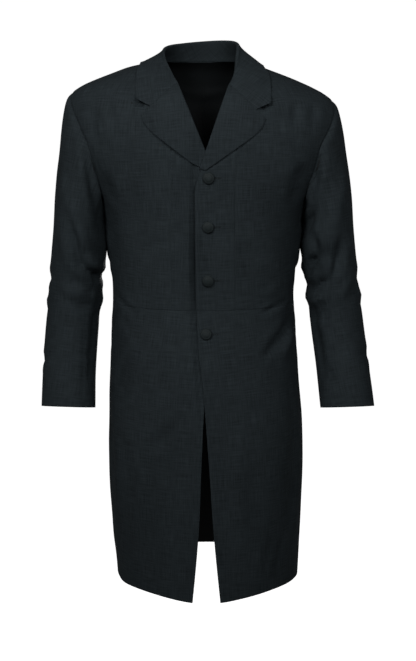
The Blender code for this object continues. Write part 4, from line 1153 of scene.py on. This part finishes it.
# %% Pale paper
PAPER_TONE, PAPER_ROUGH, PAPER_GLOSS, PAPER_GLOW = 0.93, 0.9, 0.1, 0.9
pale = bpy.data.materials.new("pale_paper")
pale.use_nodes = True
pale_shader = pale.node_tree.nodes["Principled BSDF"]
set_inputs(pale_shader, Base_Color=(PAPER_TONE, PAPER_TONE, PAPER_TONE, 1),
           Roughness=PAPER_ROUGH, Specular_IOR_Level=PAPER_GLOSS, Emission_Color=(1, 1, 1, 1))
eye_rays = add_node(pale.node_tree, "ShaderNodeLightPath")
glow = calculate(pale.node_tree, "MULTIPLY", eye_rays.outputs["Is Camera Ray"], PAPER_GLOW)
link(pale.node_tree, (glow, pale_shader.inputs["Emission Strength"]))
sweep.data.materials.append(pale)
print("backdrop:", sweep.name, "in", pale.name)

# %% [markdown]
# The light is that of a plain studio. Two soft lights stand in front, the stronger one high to
# the left. They are aimed at the chest and their spread is narrowed, as with a grid on a lamp,
# so the coat darkens towards its hem. Light from both sides draws the creases at the armholes
# and the edge of the over front. A third light stands behind, below the shoulders, so that it
# draws no pale rim on them.

# %% Light
LIGHT_SIZE, LIGHT_SPREAD = 0.9, math.radians(50)
# name, place, point it looks at, watts
LIGHTS = [
    ("left_front", (-1.4, -2.3, 1.45), (0, -0.1, -0.20), 4.4),
    ("right_front", (0.9, -2.7, 1.15), (0, -0.1, -0.20), 2.9),
    ("behind", (0.3, 3.0, -0.15), (0, 0.1, -0.35), 4.6),
]
for name, place, aim, power in LIGHTS:
    data = bpy.data.lights.new(name, "AREA")
    data.shape = "SQUARE"
    data.size = LIGHT_SIZE
    data.energy = power
    data.spread = LIGHT_SPREAD
    light = in_scene(name, data)
    light.location = place
    light.rotation_euler = (Vector(aim) - Vector(place)).to_track_quat("-Z", "Y").to_euler()
print("lights:", [name for name, *_ in LIGHTS])

# %% [markdown]
# The surround is dim for the coat and white for the eye, again with a Light Path node to tell
# the two kinds of ray apart. The standard view transform keeps the white paper white.

# %% Surround
DIM, WHITE = 0.13, 1.0
surround = bpy.data.worlds.new("studio")
surround.use_nodes = True
air = surround.node_tree
dim = air.nodes["Background"]
white = add_node(air, "ShaderNodeBackground")
for sky, strength in ((dim, DIM), (white, WHITE)):
    set_inputs(sky, Color=(1, 1, 1, 1), Strength=strength)
rays = add_node(air, "ShaderNodeLightPath")
choice = add_node(air, "ShaderNodeMixShader")
link(air, (rays.outputs["Is Camera Ray"], choice.inputs[0]), (dim.outputs[0], choice.inputs[1]),
     (white.outputs[0], choice.inputs[2]),
     (choice.outputs[0], air.nodes["World Output"].inputs["Surface"]))
bpy.context.scene.world = surround
bpy.context.scene.view_settings.view_transform = "Standard"
print("surround:", surround.name)

# %% [markdown]
# The camera stands three metres away, level with the neck, and looks down by almost ten
# degrees through a long lens, as a catalogue picture of a garment does.

# %% Camera
LENS, SENSOR = 85, 36
CAMERA_PLACE, CAMERA_TILT = (0.009, -3.12, 0.0), math.radians(80.5)
camera_data = bpy.data.cameras.new("camera")
camera_data.lens = LENS
camera_data.sensor_width = SENSOR
camera = in_scene("camera", camera_data)
camera.location = CAMERA_PLACE
camera.rotation_euler = (CAMERA_TILT, 0, 0)
bpy.context.scene.camera = camera
print("camera lens", LENS)
